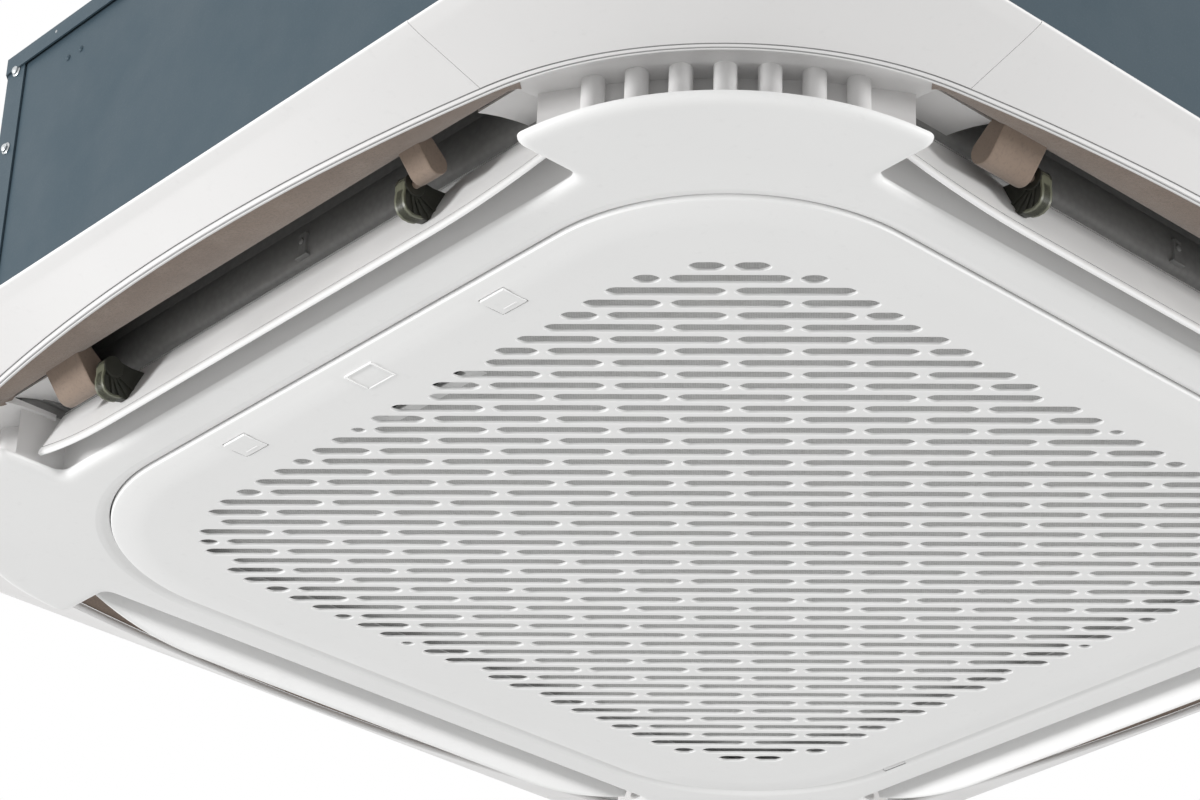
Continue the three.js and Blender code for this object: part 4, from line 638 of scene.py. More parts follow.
def place(where, profile, quarters=0):
    """A ring of points from a profile of (distance out from the lip, z)."""
    lip, out, _ = where
    return [turned((lip[0] + out[0] * d, lip[1] + out[1] * d, z), quarters) for d, z in profile]


def slope(reach, d):
    """The height of the ring's sloping face at a distance from the lip."""
    return LIP_Z + (d - 2.5) / (reach - 11.5) * 14.6


def outer_face(reach, drop=0.0):
    """The ring's edge, bevel and sloping face, from the ceiling in to the seam beside the lip."""
    bend = bezier((reach - 7.4, -4.38), (reach - 9, -5), (reach - 11.5, slope(reach, reach - 11.5)), 4)
    rim = [(reach, -drop), (reach, -0.8), (reach - 0.3, -1.4), (reach - 1.1, -1.93)]
    face = [(d, slope(reach, d)) for d in (reach * 0.66, reach * 0.4, COVER_IN + 1.2, COVER_IN + 0.55)]
    return rim + bend + face + [(COVER_IN + 0.35, slope(reach, COVER_IN) + 0.25)]


def ring_profile(reach, rebate):
    """The ring's whole section; under the corner covers it is lower by the rebate."""
    face = outer_face(reach)
    top = [(d - (rebate if i < 4 else 0), z + (rebate if i > 1 else 0)) for i, (d, z) in enumerate(face)]
    low = slope(reach, COVER_IN)
    lip = [
        (COVER_IN + 0.3, low + max(rebate, 1.1)), (COVER_IN - 0.55, low + max(rebate, 1.1)),
        (COVER_IN - 0.65, low + 0.1), (COVER_IN - 1.0, low - 0.1), (4.2, slope(reach, 4.2) - 0.2),
        (3.6, slope(reach, 3.6) - 0.1), (3.4, slope(reach, 3.4) + 0.1), (3.32, LIP_Z + 1.0),
        (2.5, LIP_Z + 1.0), (2.42, LIP_Z + 0.05),
        (2.2, LIP_Z - 0.2), (1.5, LIP_Z - 0.25), (0.8, LIP_Z + 0.05), (0.25, LIP_Z + 0.65), (0, LIP_Z + 1.4),
        (0.1, LIP_Z + 2.3), (0.6, LIP_Z + 3.2), (3, LIP_Z + 5.2), (reach - 6, 0),
    ]
    return top + lip


def make_ring():
    corner = corner_stations(SEAM)
    cuts = [(side_station(i * RING_STEP), 0) for i in range(-10, 11)]
    cuts += [(corner[0], 0)] + [(where, REBATE) for where in corner] + [(corner[-1], 0)]
    rings = [place(where, ring_profile(where[2], rebate), k) for k in range(4) for where, rebate in cuts]
    looks = [MATERIALS["ring_white"]] * GROOVE_SHADE_MARK + [GROOVE_SHADE]
    shape = Shape().loft(rings, loop=True, shade_strips=RING_GROOVE_SHADE)
    shape.piece("ring", "unit", "ring_white", "outer_ring", looks=looks)


def make_covers():
    def profile(reach):
        inner = (COVER_IN + 0.35, slope(reach, COVER_IN) + 2.4)
        return outer_face(reach, 0.3) + [inner, (reach - 9, -2.6), (reach - 2.4, -1.5), (reach - 2.4, -0.3)]

    for k, name in enumerate(SIDES):
        rings = [place(where, profile(where[2]), k) for where in corner_stations(SEAM + 0.35)]
        Shape().loft(rings).piece(f"corner_cover_{name}", "unit", "ring_white", f"corner_cover_{name}")


# ---- centre plate and panel frame


def lobe_arc(apex, tip_diagonal, half_chord):
    """Half of the arc that closes a corner, from a tip to the apex on the diagonal."""
    sagitta = apex - tip_diagonal
    radius = (half_chord ** 2 + sagitta ** 2) / (2 * sagitta)
    sweep = math.asin(half_chord / radius)
    return [((d + t) * HALF, (t - d) * HALF) for d, t in arc(apex - radius, 0, radius, -sweep, 0, 10)]


def plate_outline(inset):
    """The plate's outline: straight sides, a notch and a rounded tip at each outlet's end, bowed lobes."""
    end, edge = OUTLET + inset, EDGE - inset
    notch = arc(end - LOBE_FILLET, -edge - LOBE_FILLET, LOBE_FILLET, math.pi / 2, 0, 8)
    half_chord = (LOBE_REACH - OUTLET) * HALF - LOBE_FILLET * 1.2
    sagitta = LOBE_APEX - (LOBE_REACH + OUTLET + LOBE_FILLET) * HALF
    radius = (half_chord ** 2 + sagitta ** 2) / (2 * sagitta)
    centre = (LOBE_APEX - radius) * HALF
    radius -= inset
    tx = end + LOBE_ROUND
    ty = -centre - math.sqrt((radius - LOBE_ROUND) ** 2 - (tx - centre) ** 2)
    touch = math.atan2(ty + centre, tx - centre)
    tip = arc(tx, ty, LOBE_ROUND, -math.pi, touch, 9)
    outer = arc(centre, -centre, radius, touch, -math.pi / 4, 14)
    outer[-1] = ((LOBE_APEX - inset) * HALF, -(LOBE_APEX - inset) * HALF)
    return four_fold([(0.0, -edge), (120.0, -edge)] + notch + tip + outer[1:])


def filled(shape, outer, inner, z):
    """A flat face between two outlines that are already rings of the shape."""
    loops = [[Vector((x, y, 0)) for x, y in outline] for outline in (outer, inner)]
    base = len(shape.points)
    shape.points += at_height(outer, z) + at_height(inner, z)
    for triangle in tessellate_polygon(loops):
        shape.face([base + i for i in triangle])


def walls(shape, rings):
    """Open walls between rings that lie one over the other; finish_mesh welds them to the flat faces."""
    base, count = len(shape.points), len(rings[0])
    for ring in rings:
        shape.points += ring
    for i in range(len(rings) - 1):
        for j in range(count):
            k = (j + 1) % count
            near, far = base + i * count, base + (i + 1) * count
            shape.face((near + j, near + k, far + k, far + j))


# rolled rims as (inset or outset, z)
PLATE_ROLL = ((8.6, -42.0), (6.0, -41.92), (4.0, -41.6), (2.3, -40.9), (1.0, -39.8), (0.25, -38.5),
              (0.0, -37.0))
OPENING_ROLL = ((8.6, -42.0), (7.8, -41.93), (6.2, -41.55), (4.0, -40.85), (2.0, -40.15), (0.5, -39.6),
                (0.05, -39.3), (-0.3, -38.9), (-0.3, -37.0))


def opening(out):
    return rounded_square(GRILLE + GAP + out, GRILLE_ROUND + GAP + out, 14)


def make_plate():
    """The centre plate, with pockets at its rear edge for the grille's hinge eyes and a pin in each."""
    shape = Shape()
    walls(shape, [at_height(plate_outline(inset), z) for inset, z in PLATE_ROLL])
    walls(shape, [at_height(opening(out), z) for out, z in OPENING_ROLL])
    filled(shape, plate_outline(PLATE_ROLL[0][0]), opening(OPENING_ROLL[0][0]), PLATE_Z)
    filled(shape, plate_outline(0.0), opening(OPENING_ROLL[-1][0]), PLATE_TOP)
    piece = shape.object("plate_look", [MATERIALS["panel_white"]], 40.0)
    cutter, pins = Shape(), Shape()
    pocket = [(322, HINGE_Z - 2.5)] + arc(HINGE_R, HINGE_Z, 2.5, -math.pi / 2, 0, 6)
    pocket += [(HINGE_R + 2.5, -36), (322, -36)]
    pin = arc(HINGE_R, HINGE_Z, 1.0, 0, 2 * math.pi * 11 / 12, 11)
    for middle in (-HINGE_X, HINGE_X):
        cutter.bar(pocket, middle - POCKET_HALF, middle + POCKET_HALF)
        pins.bar(pin, middle - PIN_HALF, middle + PIN_HALF, 0.2)
    carve(piece, cutter.turned(2).object("hinge_pockets", []))
    settle(piece, "unit", "panel_white", "centre_plate")
    pins.turned(2).piece("hinge_pins", "unit", "galvanised_steel")


def frame_outline(inset):
    """The outline of the white wall that stands behind the outlets and under the lobes."""
    end = OUTLET + 2.5 + inset
    reach = LOBE_REACH - 17 - inset
    points = lobe_arc(LOBE_APEX - WALL_SETBACK - inset, (reach + end) * HALF, (reach - end) * HALF)
    return four_fold([(0.0, -(EDGE - 2 - inset)), (end, -(EDGE - 2 - inset))] + points)


# the corner's roof as (distance out from the lip, z)
ROOF = ((0.8, -15.5), (-3, -12.9), (-6, -11.1), (-9.5, -9.4), (-14, -7.6), (-19, -6.0), (-24, -4.9),
        (-32, -3.8), (-44, -3.15), (-56, -2.9))


def make_frame():
    """The wall, and in each corner the roof, shelves at the outlets' ends and ribs with round noses."""
    outer, inner = frame_outline(0), frame_outline(2.5)
    shape, corner = Shape(), Shape()
    shape.loft([at_height(outer, WALL_LOW), at_height(outer, WALL_TOP), at_height(inner, WALL_TOP),
                at_height(inner, WALL_LOW)], loop=True)
    profile = list(ROOF) + [(-56, WALL_TOP), (-20, WALL_TOP), (3.2, -12.9)]
    corner.loft([[(max(x, ROOF_EDGE), min(y, -ROOF_EDGE), z) for x, y, z in place(where, profile)]
                 for where in corner_stations(ROOF_START)])
    apex = LOBE_APEX - WALL_SETBACK
    for i in range(-3, 4):
        offset = i * NOSE_PITCH
        root = apex - 2.5 - offset * offset / 400
        nose = arc(root + NOSE_LENGTH - NOSE_RADIUS, offset, NOSE_RADIUS, -math.pi / 2, math.pi / 2, 12)
        plan = [(root, offset - NOSE_RADIUS)] + nose + [(root, offset + NOSE_RADIUS)]
        plan = [((d + t) * HALF, (t - d) * HALF) for d, t in plan]
        middle = root + NOSE_LENGTH / 2
        cx, cy = (middle + offset) * HALF, (offset - middle) * HALF
        corner.loft([[(cx + (x - cx) * share, cy + (y - cy) * share, z) for x, y in plan]
                     for share, z in ((0.9, -36.7), (0.97, -36.2), (1.0, -35.2), (1.0, -3.0))])
    shelf = [(352, 9.2), (356, 9.0), (366, 7.6), (378, 5.0), (388, 2.0), (393.5, 0.0), (393.5, 1.6),
             (388, 3.7), (378, 6.8), (366, 9.5), (356, 11.0), (352, 11.2)]
    thick_shelf = [(r, z + 3 * (i > 5)) for i, (r, z) in enumerate(shelf)]
    for s0, s1 in SHELF_SPANS:
        free = s0 if s0 > 0 else s1
        corner.bar(shelf, s0, s1, 0.4)
        corner.bar(thick_shelf, free - 0.7, free + 0.7, 0.3)
    for k in range(4):
        shape.join(corner.turned(k))
    shape.piece("frame", "unit", "panel_white", "panel_frame", looks=[MATERIALS["ring_white"]])


# ---- outlets


def flare_curve(s):
    """The liner's curve as (r, z), from the lip up into the duct."""
    return bezier((lip_at(s) + 0.8, -15.5), (DUCT_OUT + 3.5, -9), (DUCT_OUT, 8), 12)


def height_on(curve, r):
    """The z of a curve of (r, z) points, which runs towards smaller r, at one r."""
    for (r0, z0), (r1, z1) in zip(curve, curve[1:]):
        if r >= r1:
            return z0 + (r - r0) / (r1 - r0) * (z1 - z0)
    return curve[-1][1]


def offset_line(line, distance):
    """A line moved sideways by a distance, for the second face of a thin wall."""
    out = []
    for i, (x, y) in enumerate(line):
        ax, ay = line[max(i - 1, 0)]
        bx, by = line[min(i + 1, len(line) - 1)]
        length = math.hypot(bx - ax, by - ay)
        out.append((x + distance * (by - ay) / length, y - distance * (bx - ax) / length))
    return out


def smooth(t):
    t = min(max(t, 0.0), 1.0)
    return t * t * (3 - 2 * t)


def tip_ring(s, side):
    """A section of the liner's pointed end, which runs on along the lip, over the corner's roof."""
    lip = lip_at(s)
    notch = 2.6 * smooth((s - LIP_START) / 7) if s > LIP_START else -0.6
    low = (lip - DUCT_OUT - 0.5) * (1 - smooth((s - TIP_NARROWS) / 40))
    low *= max(0.0, 1 - max(0.0, s - TIP_NARROWS) / 28.2) ** 0.7
    low = max(low, notch + 0.15)
    share = smooth((s - TIP_START) / 9)
    curve = flare_curve(s)
    ring = []
    for i in range(9):
        d = -notch - (low - notch) * i / 8
        z = (1 - share) * height_on(curve, lip + d) + share * (height_on(ROOF, d) - 0.55)
        ring.append((side * s, -(lip + d), z - 0.12))
    return ring + [(x, y, z + 0.35) for x, y, z in reversed(ring)]


def make_flare_body():
    shape = Shape()
    rings = []
    for i in range(-16, 17):
        s = i * FLARE_HALF / 16
        face = flare_curve(s) + [(DUCT_OUT, 14.0)]
        back = offset_line(face, FLARE_THICK)
        rings.append([(s, -r, z) for r, z in face + back[::-1]])
    shape.loft(rings)
    for side in (-1, 1):
        shape.loft([tip_ring(TIP_START + TIP_LENGTH * j / 18, side) for j in range(19)])
    return shape


def block_profile(shift, radius):
    """A brown block's section, from the duct's wall to a round end at the louver's pivot."""
    end = arc(PIVOT[0] + shift, PIVOT[1] + shift, radius, math.pi * 0.75, math.pi * 1.75, 12)
    return [(DUCT_OUT + 2, 2.5)] + end + [(DUCT_OUT + 12, -5)]


def make_blocks():
    shape = Shape()
    shape.bar(block_profile(0, 8.5), *MOTOR_BLOCK, 1.2)
    shape.bar(block_profile(3, 7.2), *PIVOT_BLOCK, 1.2)
    for s0, s1 in STUBS:
        shape.bar(arc(PIVOT[0], PIVOT[1], 2.5, 0, 2 * math.pi * 15 / 16, 15), s0, s1, 0.3)
    return shape


def blade_point(chord, depth):
    """The (r, z) of a point of the tilted blade, chord from its upper rim and depth from its outer face."""
    r = BLADE_TOP[0] + chord * math.sin(BLADE_TILT) - depth * math.cos(BLADE_TILT)
    return r, BLADE_TOP[1] - chord * math.cos(BLADE_TILT) - depth * math.sin(BLADE_TILT)


def chord_at(s):
    """The blade's width, which shrinks in a curve towards both ends."""
    past = max(abs(s) - BLADE_STRAIGHT, 0)
    return BLADE_CHORD - (BLADE_BOW - math.sqrt(BLADE_BOW ** 2 - past ** 2))


def blade_profile(chord):
    """The blade's section as (chord, depth): round rims, two fine grooves, a proud strip low down."""
    return [
        (0.9, 0.0), (2.6, 0.0), (2.7, 1.0), (3.7, 1.0), (3.8, 0.0), (chord * 0.5, 0.0), (chord - 6.4, 0.0),
        (chord - 6.3, 1.1), (chord - 5.2, 1.1), (chord - 5.1, -0.15), (chord - 3.0, -0.3),
        (chord - 1.3, -0.1), (chord - 0.35, 0.5), (chord, 1.4), (chord - 0.25, 2.4), (chord - 1.0, 3.0),
        (chord - 2.2, BLADE_THICK), (chord * 0.5, BLADE_THICK), (1.0, BLADE_THICK), (0.3, 2.9), (0.0, 2.2),
        (0.0, 0.9), (0.3, 0.3),
    ]


def make_blade():
    shape = Shape()
    places = [(-BLADE_HALF, 0.7), (-BLADE_HALF + 0.4, 0.25)]
    steps = 48
    places += [(-BLADE_HALF + 1.2 + (2 * BLADE_HALF - 2.4) * i / steps, 0.0) for i in range(steps + 1)]
    places += [(BLADE_HALF - 0.4, 0.25), (BLADE_HALF, 0.7)]
    rings = []
    for s, ease in places:
        chord = chord_at(s)
        ring = []
        for c, d in blade_profile(chord):
            c = min(max(c, ease), chord - ease)
            d = min(max(d, ease), BLADE_THICK - ease) if ease else d
            ring.append(blade_point(c, d))
        rings.append([(s, -r, z) for r, z in ring])
    shape.loft(rings, shade_strips=BLADE_GROOVE_SHADE)
    return shape


def polar(radius, degrees):
    """The (r, z) of a point round the louver's pivot."""
    angle = math.radians(degrees)
    return PIVOT[0] + radius * math.cos(angle), PIVOT[1] + radius * math.sin(angle)


def make_arm(shape, start):
    """An arm: dark web, rim in lighter olive as a painted highlight, eye round the pivot, finger-like ribs
    at the blade.
    """
    end = start + ARM_WIDTH
    eye = [polar(6.8, a) for a in (110, 85, 60, 35, 10, -15)]
    outer = [polar(radius, a) for radius, a in ((8.2, -35), (11.6, -52), (15.4, -65), (18.0, -76),
                                                (19.2, -88), (19.6, -100), (19.8, -112))]
    inner = [blade_point(37, 0.6), blade_point(24, 0.6), blade_point(12, 0.6), (PIVOT[0] - 14, PIVOT[1] + 5)]
    shape.bar(eye + outer + inner, start + 1.8, end - 1.8, 0.5, mark=1)
    # the rim, in the lighter material that is a painted highlight
    edge = [polar(6.8, 20), polar(7.2, -10)] + outer
    back = offset_line(edge, 1.1)
    shape.bar(edge + back[::-1], start + 0.6, end - 0.6, 0.4, mark=2)
    for hub in (start, end - 2.2):
        shape.bar([polar(7.0, 360 * i / 18) for i in range(18)], hub, hub + 2.2, 0.5, mark=1)
    for degrees, size in ((-96, 18.6), (-112, 19.6), (-130, 21.4), (-150, 19.6)):
        tip, root = polar(size, degrees), polar(6.5, degrees + 14)
        across = math.radians(degrees + 90)
        dx, dz = 0.9 * math.cos(across), 0.9 * math.sin(across)
        rib = [(root[0] - dx, root[1] - dz), (tip[0] - dx, tip[1] - dz), (tip[0] + dx, tip[1] + dz),
               (root[0] + dx, root[1] + dz)]
        shape.bar(rib, start + 0.6, end - 0.6, 0.3, mark=1)


def make_duct_lip():
    """The dark duct's rounded edge along the plate's side of an outlet."""
    profile = [(353, 35.5), (357.2, 35), (358.4, 30), (359.3, 24), (359.7, 18), (359.4, 13), (358.3, 9.5),
               (356.2, 7.1), (353, 6.15)]
    return Shape().bar(profile, -DUCT_LIP_HALF, DUCT_LIP_HALF, 0.8)


def make_duct_clip():
    """A small clip with a screw on the duct's wall, a little beside the middle."""
    shape = Shape()
    shape.loft(rounded_box((4, -359.6, 18), (7, 3.4, 16), 0.8))
    shape.loft(rounded_box((4, -359.5, 10.2), (11, 4.4, 1.6), 0.5))
    return shape.turn([(0.6, 0), (2.0, 0.2), (2.2, 0.7), (1.6, 1.3), (0.4, 1.5)], (4, -361.2, 20), 14)


def make_outlets():
    flare, blocks, blade = make_flare_body(), make_blocks(), make_blade()
    for start in ARM_STARTS:
        make_arm(blade, start)
    lip, clip = make_duct_lip(), make_duct_clip()
    looks = [MATERIALS["panel_white"], ARM, RIM_HIGHLIGHT, GROOVE_SHADE]
    for k, name in enumerate(SIDES):
        louver = f"louver_{name}"
        blade.turned(k).piece(louver, louver, "panel_white", louver, looks=looks, sharp=36.0)
        flare.turned(k).piece(f"outlet_flare_{name}", "unit", "flocked_liner", f"outlet_flare_{name}")
        blocks.turned(k).piece(f"pivot_blocks_{name}", "unit", "flocked_liner", looks=[SHADED_BLOCK])
        lip.turned(k).piece(f"duct_lip_{name}", "unit", "drain_pan_foam", sharp=50.0)
        clip.turned(k).piece(f"duct_clip_{name}", "unit", "drain_pan_foam")


# ---- grille, latches, filter


def field_reach(distance):
    """How far a row of slots runs from the middle, for a row at a distance from the grille's diagonal."""
    middle = FIELD - FIELD_ROUND
    diagonal = middle / HALF
    if distance < FIELD_ROUND * HALF:
        return diagonal + math.sqrt(FIELD_ROUND ** 2 - distance ** 2)
    if distance < (FIELD + middle) * HALF:
        return FIELD / HALF - distance
    return math.sqrt(max(FIELD_ROUND ** 2 - (distance - diagonal) ** 2, 0))


def slot_places():
    """Start, end and row of every slot; every second row is shifted by half a slot."""
    rows = math.floor((field_reach(0) - SLOT_HALF) / ROW_PITCH)
    for row in range(-rows, rows + 1):
        across = row * ROW_PITCH
        reach = field_reach(abs(across) + SLOT_HALF) + SLOT_PAST
        shift = SLOT_PITCH / 2 if row % 2 == 0 else 0
        most = math.ceil(reach / SLOT_PITCH) + 1
        for i in range(-most, most + 1):
            start = max(shift + i * SLOT_PITCH + SLOT_TIP_GAP / 2, -reach)
            end = min(shift + (i + 1) * SLOT_PITCH - SLOT_TIP_GAP / 2, reach)
            if end - start >= SLOT_LEAST:
                yield start, end, across


def slot_outline(start, end, across):
    """A slot with tapered, blunt-pointed ends, along the grille's diagonal; a short one is also narrower."""
    size = min(1.0, (end - start) / SLOT_FULL)
    tip = [(0.0, 0.0), (0.3, 0.22), (1.5, 0.52), (3.4, 0.81), (5.0, 0.95), (6.6, 1.0)]
    tip = [(a * size, b * size * SLOT_HALF) for a, b in tip]
    upper = [(start + a, b) for a, b in tip] + [(end - a, b) for a, b in reversed(tip)]
    lower = [(t, -b) for t, b in reversed(upper[1:-1])]
    return [((t - across - b) * HALF, (t + across + b) * HALF) for t, b in upper + lower]


def make_field():
    """The grille's flat slotted middle, as a filled outline with a hole for each slot."""
    curve = bpy.data.curves.new("field", "CURVE")
    curve.dimensions = "2D"
    curve.fill_mode = "BOTH"
    ease = 0.55
    curve.extrude = (SHEET_HALF - ease) * MM
    curve.bevel_depth = ease * MM
    curve.bevel_resolution = 1
    curve.offset = -ease * MM
    edge = rounded_square(SHEET_EDGE, GRILLE_ROUND - GRILLE + SHEET_EDGE, 8)
    for outline in [edge] + [slot_outline(*spot) for spot in slot_places()]:
        spline = curve.splines.new("POLY")
        spline.points.add(len(outline) - 1)
        for point, (x, y) in zip(spline.points, outline):
            point.co = (x * MM, y * MM, 0, 1)
        spline.use_cyclic_u = True
    source = show("field_curve", curve)
    mesh = evaluated(source)
    bpy.data.objects.remove(source)
    mesh.transform(Matrix.Translation((0, 0, (SLOT_Z + SHEET_HALF) * MM)))
    mesh.materials.clear()
    mesh.materials.append(MATERIALS["panel_white"])
    finish_mesh(mesh, 50.0)
    piece = show("grille_field_look", mesh)
    weigh(piece)
    return piece


# the grille's plain border as (half side, z), from the field out over the rim and back behind
GRILLE_BORDER = ((290, -45.02), (300, -45.02), (303, -44.93), (307, -44.6), (312, -43.95), (317, -43.1),
                 (320.4, -42.5), (322.0, -42.0), (322.6, -41.3), (322.8, -40.2), (322.8, -36.9),
                 (321.4, -36.9), (321.2, -39.6), (312, -40.2), (300, -41.6), (290, -42.2))


def make_border():
    rings = [at_height(rounded_square(half, GRILLE_ROUND - GRILLE + half, 14), z)
             for half, z in GRILLE_BORDER]
    piece = Shape().loft(rings, loop=True).object("grille_border_look", [MATERIALS["panel_white"]], 40.0)
    cutter = Shape()
    for side in (-1, 1):
        cutter.loft(rounded_box((side * LATCH_X, -LATCH_R, -42), (22.3, 19.3, 14), 0.4))
    carve(piece, cutter.object("latch_holes", []))
    return piece


def make_grille_back():
    """What stands on the grille's back: a rim round the filter and the two hinge arms, each with its eye."""
    shape, hinge = Shape(), Shape()
    rim = ((286, -43.0), (286, -33.2), (286.7, -32.6), (288.3, -32.6), (289, -33.2), (289, -43.0))
    shape.loft([at_height(rounded_square(half, 68, 8), z) for half, z in rim], loop=True)
    eye = arc(HINGE_R, HINGE_Z, 2.05, 0, 2 * math.pi * 19 / 20, 19)
    arm = [(HINGE_R - 2, HINGE_Z), (HINGE_R, HINGE_Z + 1.2), (HINGE_R, -33.2), (HINGE_R - 0.5, -32.9),
           (316, -32.9), (315.5, -33.2), (315.5, -40.6), (317.3, -40.6), (317.3, -35.2), (317.9, -34.7),
           (HINGE_R - 2, -34.7)]
    for middle in (-HINGE_X, HINGE_X):
        hinge.bar(eye, middle - HINGE_HALF, middle + HINGE_HALF, 0.3)
        hinge.bar(arm, middle - HINGE_HALF, middle + HINGE_HALF, 0.2)
    return shape.join(hinge.turned(2))


def make_grille():
    settle(make_field(), "grille_door", "panel_white", "intake_grille")
    settle(make_border(), "grille_door", "panel_white")
    make_grille_back().piece("grille_back", "grille_door", "panel_white")
    # the bare middle square: a fine raised outline on the border
    frame_shape = Shape()
    for x, y, lx, ly in SQUARE:
        frame_shape.loft(rounded_box((x, y, -44.85 + 0.3 * (y < -310)), (lx, ly, 1.3), 0.2))
    frame_shape.piece("plain_square", "grille_door", "panel_white")
    for x, name in ((-LATCH_X, "left"), (LATCH_X, "right")):
        shape = Shape()
        shape.loft(rounded_box((x, -LATCH_R, -40.95), (21, 18, 8.9), 0.6, 3))
        shape.loft(rounded_box((x, -LATCH_R + 5.2, -45.35), (11, 1.2, 0.5), 0.2))
        shape.piece(f"latch_button_{name}", f"latch_{name}", "panel_white", f"latch_button_{name}")


def filter_outline(inset):
    h, corner, depth = FILTER - inset, FILTER_CORNER, NOTCH_DEPTH
    left, right = NOTCH[0] - inset, NOTCH[1] + inset
    return [(-h, -h + corner), (-h + corner, -h), (left, -h), (left, -h + depth), (right, -h + depth),
            (right, -h), (h - corner, -h), (h, -h + corner), (h, h - corner), (h - corner, h),
            (-h + corner, h), (-h, h - corner)]


def make_filter():
    """The filter: a fine mesh sheet, a frame with cross bars, and the notch at the latch side."""
    sheet, frame_shape = Shape(), Shape()
    low, end = FILTER_Z, FILTER - 5
    sheet.loft([at_height(filter_outline(3), low + 0.5), at_height(filter_outline(3), low + 1.3)])
    rim = ((0, 0.4), (0, 3.6), (0.4, 4), (8.6, 4), (9, 3.6), (9, 0.4), (8.6, 0), (0.4, 0))
    frame_shape.loft([at_height(filter_outline(inset), low + rise) for inset, rise in rim], loop=True)
    for at in FILTER_BARS:
        first = FILTER - NOTCH_DEPTH - 6 if NOTCH[0] - 2 < at < NOTCH[1] + 2 else end
        frame_shape.loft(slab(at - 0.8, -first, at + 0.8, end, low + 1.2, low + 3.4))
        frame_shape.loft(slab(-end, at - 0.8, end, at + 0.8, low + 1.25, low + 3.3))
    sheet.piece("filter_sheet", "grille_door", "filter_mesh", "air_filter")
    frame_shape.piece("filter_frame", "grille_door", "filter_mesh", looks=[MATERIALS["panel_white"]])


# ---- casing details


def screw(shape, at, radius):
    """A flanged screw: washer and domed head."""
    outline = ((1.25, 0.0), (1.3, 0.5), (1.1, 0.9), (0.9, 1.0), (0.86, 2.0), (0.6, 2.7), (0.2, 2.9))
    shape.turn([(radius * share, height) for share, height in outline], at, 18)


def rivet(shape, at, radius):
    outline = ((1.0, 0.0), (1.0, 0.3), (0.8, 0.9), (0.4, 1.3), (0.1, 1.35))
    shape.turn([(radius * share, height) for share, height in outline], at, 16)


def make_casing_details():
    screws, rivets = Shape(), Shape()
    for side in (-1, 1):
        for z in SCREW_HEIGHTS:
            screw(screws, (side * FLANGE_X, -CASING - 1.5, z), 3.2)
        for x, z in RIVETS:
            rivet(rivets, (side * x, -CASING, z), 2.2)
    for i in range(-3, 4):
        screw(screws, (i * RIM_PITCH, -CASING - 0.2, RIM_Z), 2.6)
    for k, name in enumerate(SIDES):
        screws.turned(k).piece(f"casing_screws_{name}", "unit", "galvanised_steel")
        rivets.turned(k).piece(f"casing_rivets_{name}", "unit", "casing_paint")


# ---- the solids that stay

# the nodes of the frame that are shown as they are, by the slot whose look they get
STAY = {
    "casing_paint": ["casing_top"] + [f"{p}_{s}" for p in ("side_panel", "corner_panel") for s in SIDES],
    "galvanised_steel": [f"{p}_{s}" for p in ("hanger_bracket", "louver_motor") for s in SIDES]
    + ["coil_end_plate_right", "coil_end_plate_rear", "fan_motor", "fan_shaft", "fan_nut"],
    "insulating_foam": ["foam_liner"],
    "drain_pan_foam": ["drain_pan", "duct_gasket"],
    "fin_pack": ["cooling_coil"],
    "fan_plastic": ["bell_mouth", "turbo_fan"],
    "black_plastic": ["drain_pump", "pump_impeller", "pump_float", "drain_pipe", "cable_gland",
                      "control_box", "control_box_cover"],
    "copper_pipe": ["gas_pipe", "liquid_pipe"],
    "brass_nut": ["gas_flare_nut", "liquid_flare_nut"],
    "circuit_board": ["control_board"],
}


def dress_solids():
    for slot, names in STAY.items():
        for name in names:
            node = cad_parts[name]
            if not node.material_slots:
                node.data.materials.append(MATERIALS[slot])
            for material_slot in node.material_slots:
                material_slot.material = MATERIALS[slot]


# ---- camera, light, stage


CAMERA_AT = (1.4678, -1.3936, -1.0852)
CAMERA_RIGHT = (0.6947, 0.7192, 0.0132)
CAMERA_BACK = (0.6304, -0.5999, -0.4927)
CAMERA_LENS = 107.22
CAMERA_SENSOR = 36.0
CAMERA_SHIFT = -0.1225
AMBIENT = 0.77
# each area light's name, place, target, side and power
LIGHTS = (
    ("key_left", (-1.7, -3.2, -0.55), (0, 0, 0), 0.7, 92),
    ("key_right", (3.2, 1.7, -0.55), (0, 0, 0), 0.7, 62),
    ("top", (0.6, -1.4, 3.0), (0, 0, 0.1), 2.4, 28),
)


def make_camera():
    """The camera as fitted to the photo: from below, past the corner between the front and right sides."""
    data = bpy.data.cameras.new("camera")
    data.lens = CAMERA_LENS
    data.sensor_width = CAMERA_SENSOR
    data.shift_x = CAMERA_SHIFT
    camera = show("camera", data)
    right = Vector(CAMERA_RIGHT).normalized()
    back = Vector(CAMERA_BACK).normalized()
    up = back.cross(right).normalized()
    turn = Matrix((right, up, back)).transposed().to_4x4()
    camera.matrix_world = Matrix.Translation(CAMERA_AT) @ turn
    bpy.context.scene.camera = camera


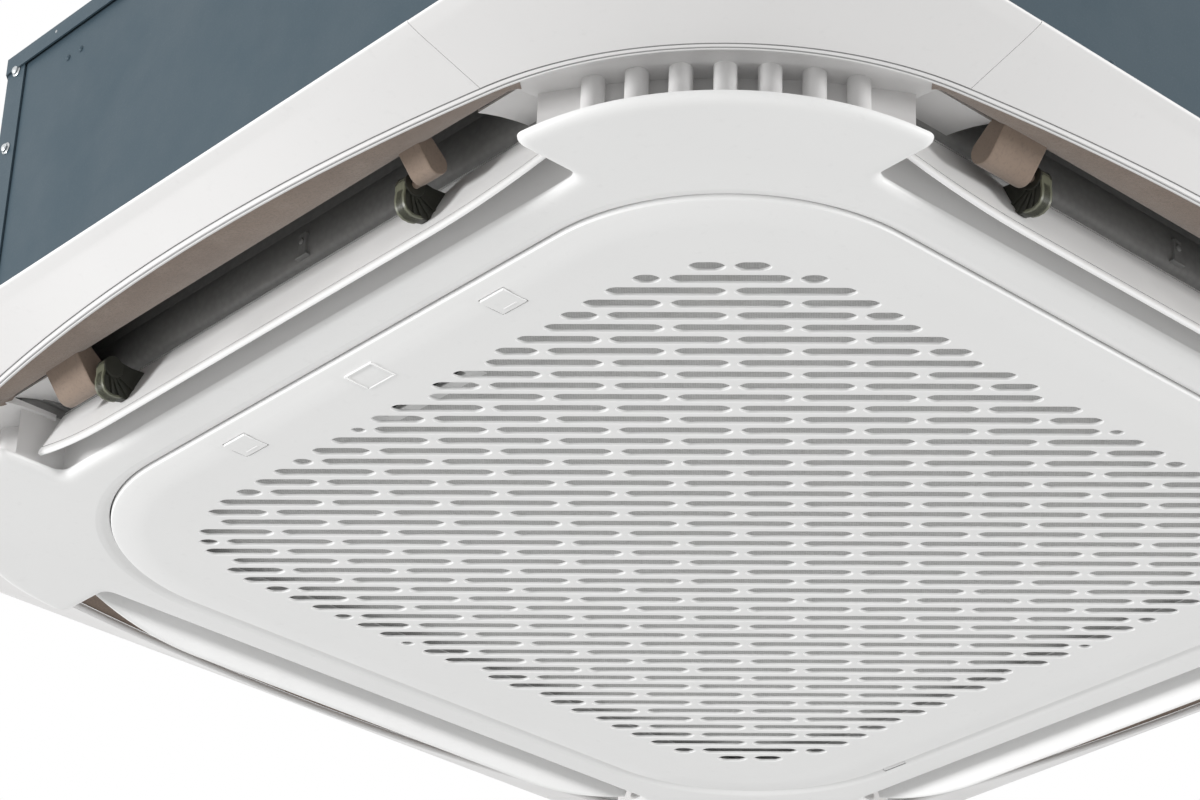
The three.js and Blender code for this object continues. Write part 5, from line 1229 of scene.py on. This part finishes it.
def make_light(name, at, target, size, power):
    data = bpy.data.lights.new(name, "AREA")
    data.shape = "RECTANGLE"
    data.size = data.size_y = size
    data.energy = power
    light = show(name, data)
    way = (Vector(target) - Vector(at)).normalized()
    light.matrix_world = Matrix.Translation(at) @ way.to_track_quat("-Z", "Y").to_matrix().to_4x4()


def make_world():
    """Even white light from all round, and full white where the camera, a gloss or a clear piece sees it."""
    world = bpy.data.worlds.new("world")
    bpy.context.scene.world = world
    world.use_nodes = True
    tree = world.node_tree
    tree.nodes.clear()
    rays = tree.nodes.new("ShaderNodeLightPath").outputs
    seen = rays["Is Camera Ray"]
    for kind in ("Is Glossy Ray", "Is Transmission Ray"):
        more = tree.nodes.new("ShaderNodeMath")
        more.operation = "MAXIMUM"
        tree.links.new(seen, more.inputs[0])
        tree.links.new(rays[kind], more.inputs[1])
        seen = more.outputs[0]
    mix = tree.nodes.new("ShaderNodeMixShader")
    tree.links.new(seen, mix.inputs[0])
    for index, strength in ((1, AMBIENT), (2, 1.0)):
        shade = tree.nodes.new("ShaderNodeBackground")
        shade.inputs["Color"].default_value = (1, 1, 1, 1)
        shade.inputs["Strength"].default_value = strength
        tree.links.new(shade.outputs[0], mix.inputs[index])
    out = tree.nodes.new("ShaderNodeOutputWorld")
    tree.links.new(mix.outputs[0], out.inputs["Surface"])


def make_stage():
    """A pale floor far below, which only a view from above shows."""
    shape = Shape()
    shape.points = at_height([(-FLOOR, -FLOOR), (FLOOR, -FLOOR), (FLOOR, FLOOR), (-FLOOR, FLOOR)], FLOOR_Z)
    shape.face((0, 1, 2, 3))
    look = Look("floor", (0.82, 0.82, 0.815), 0.85)
    look.tint(look.span(look.noise(2.0, 4.0), 0.0, 0.4), (0.79, 0.79, 0.785))
    look.grain(60.0, 3.0, 0.3)
    shape.object("floor", [look.material])


make_camera()
make_world()
for light in LIGHTS:
    make_light(*light)
make_stage()
make_ring()
make_covers()
make_plate()
make_frame()
make_outlets()
make_grille()
make_filter()
make_casing_details()
dress_solids()
bpy.context.scene.view_settings.view_transform = "Standard"
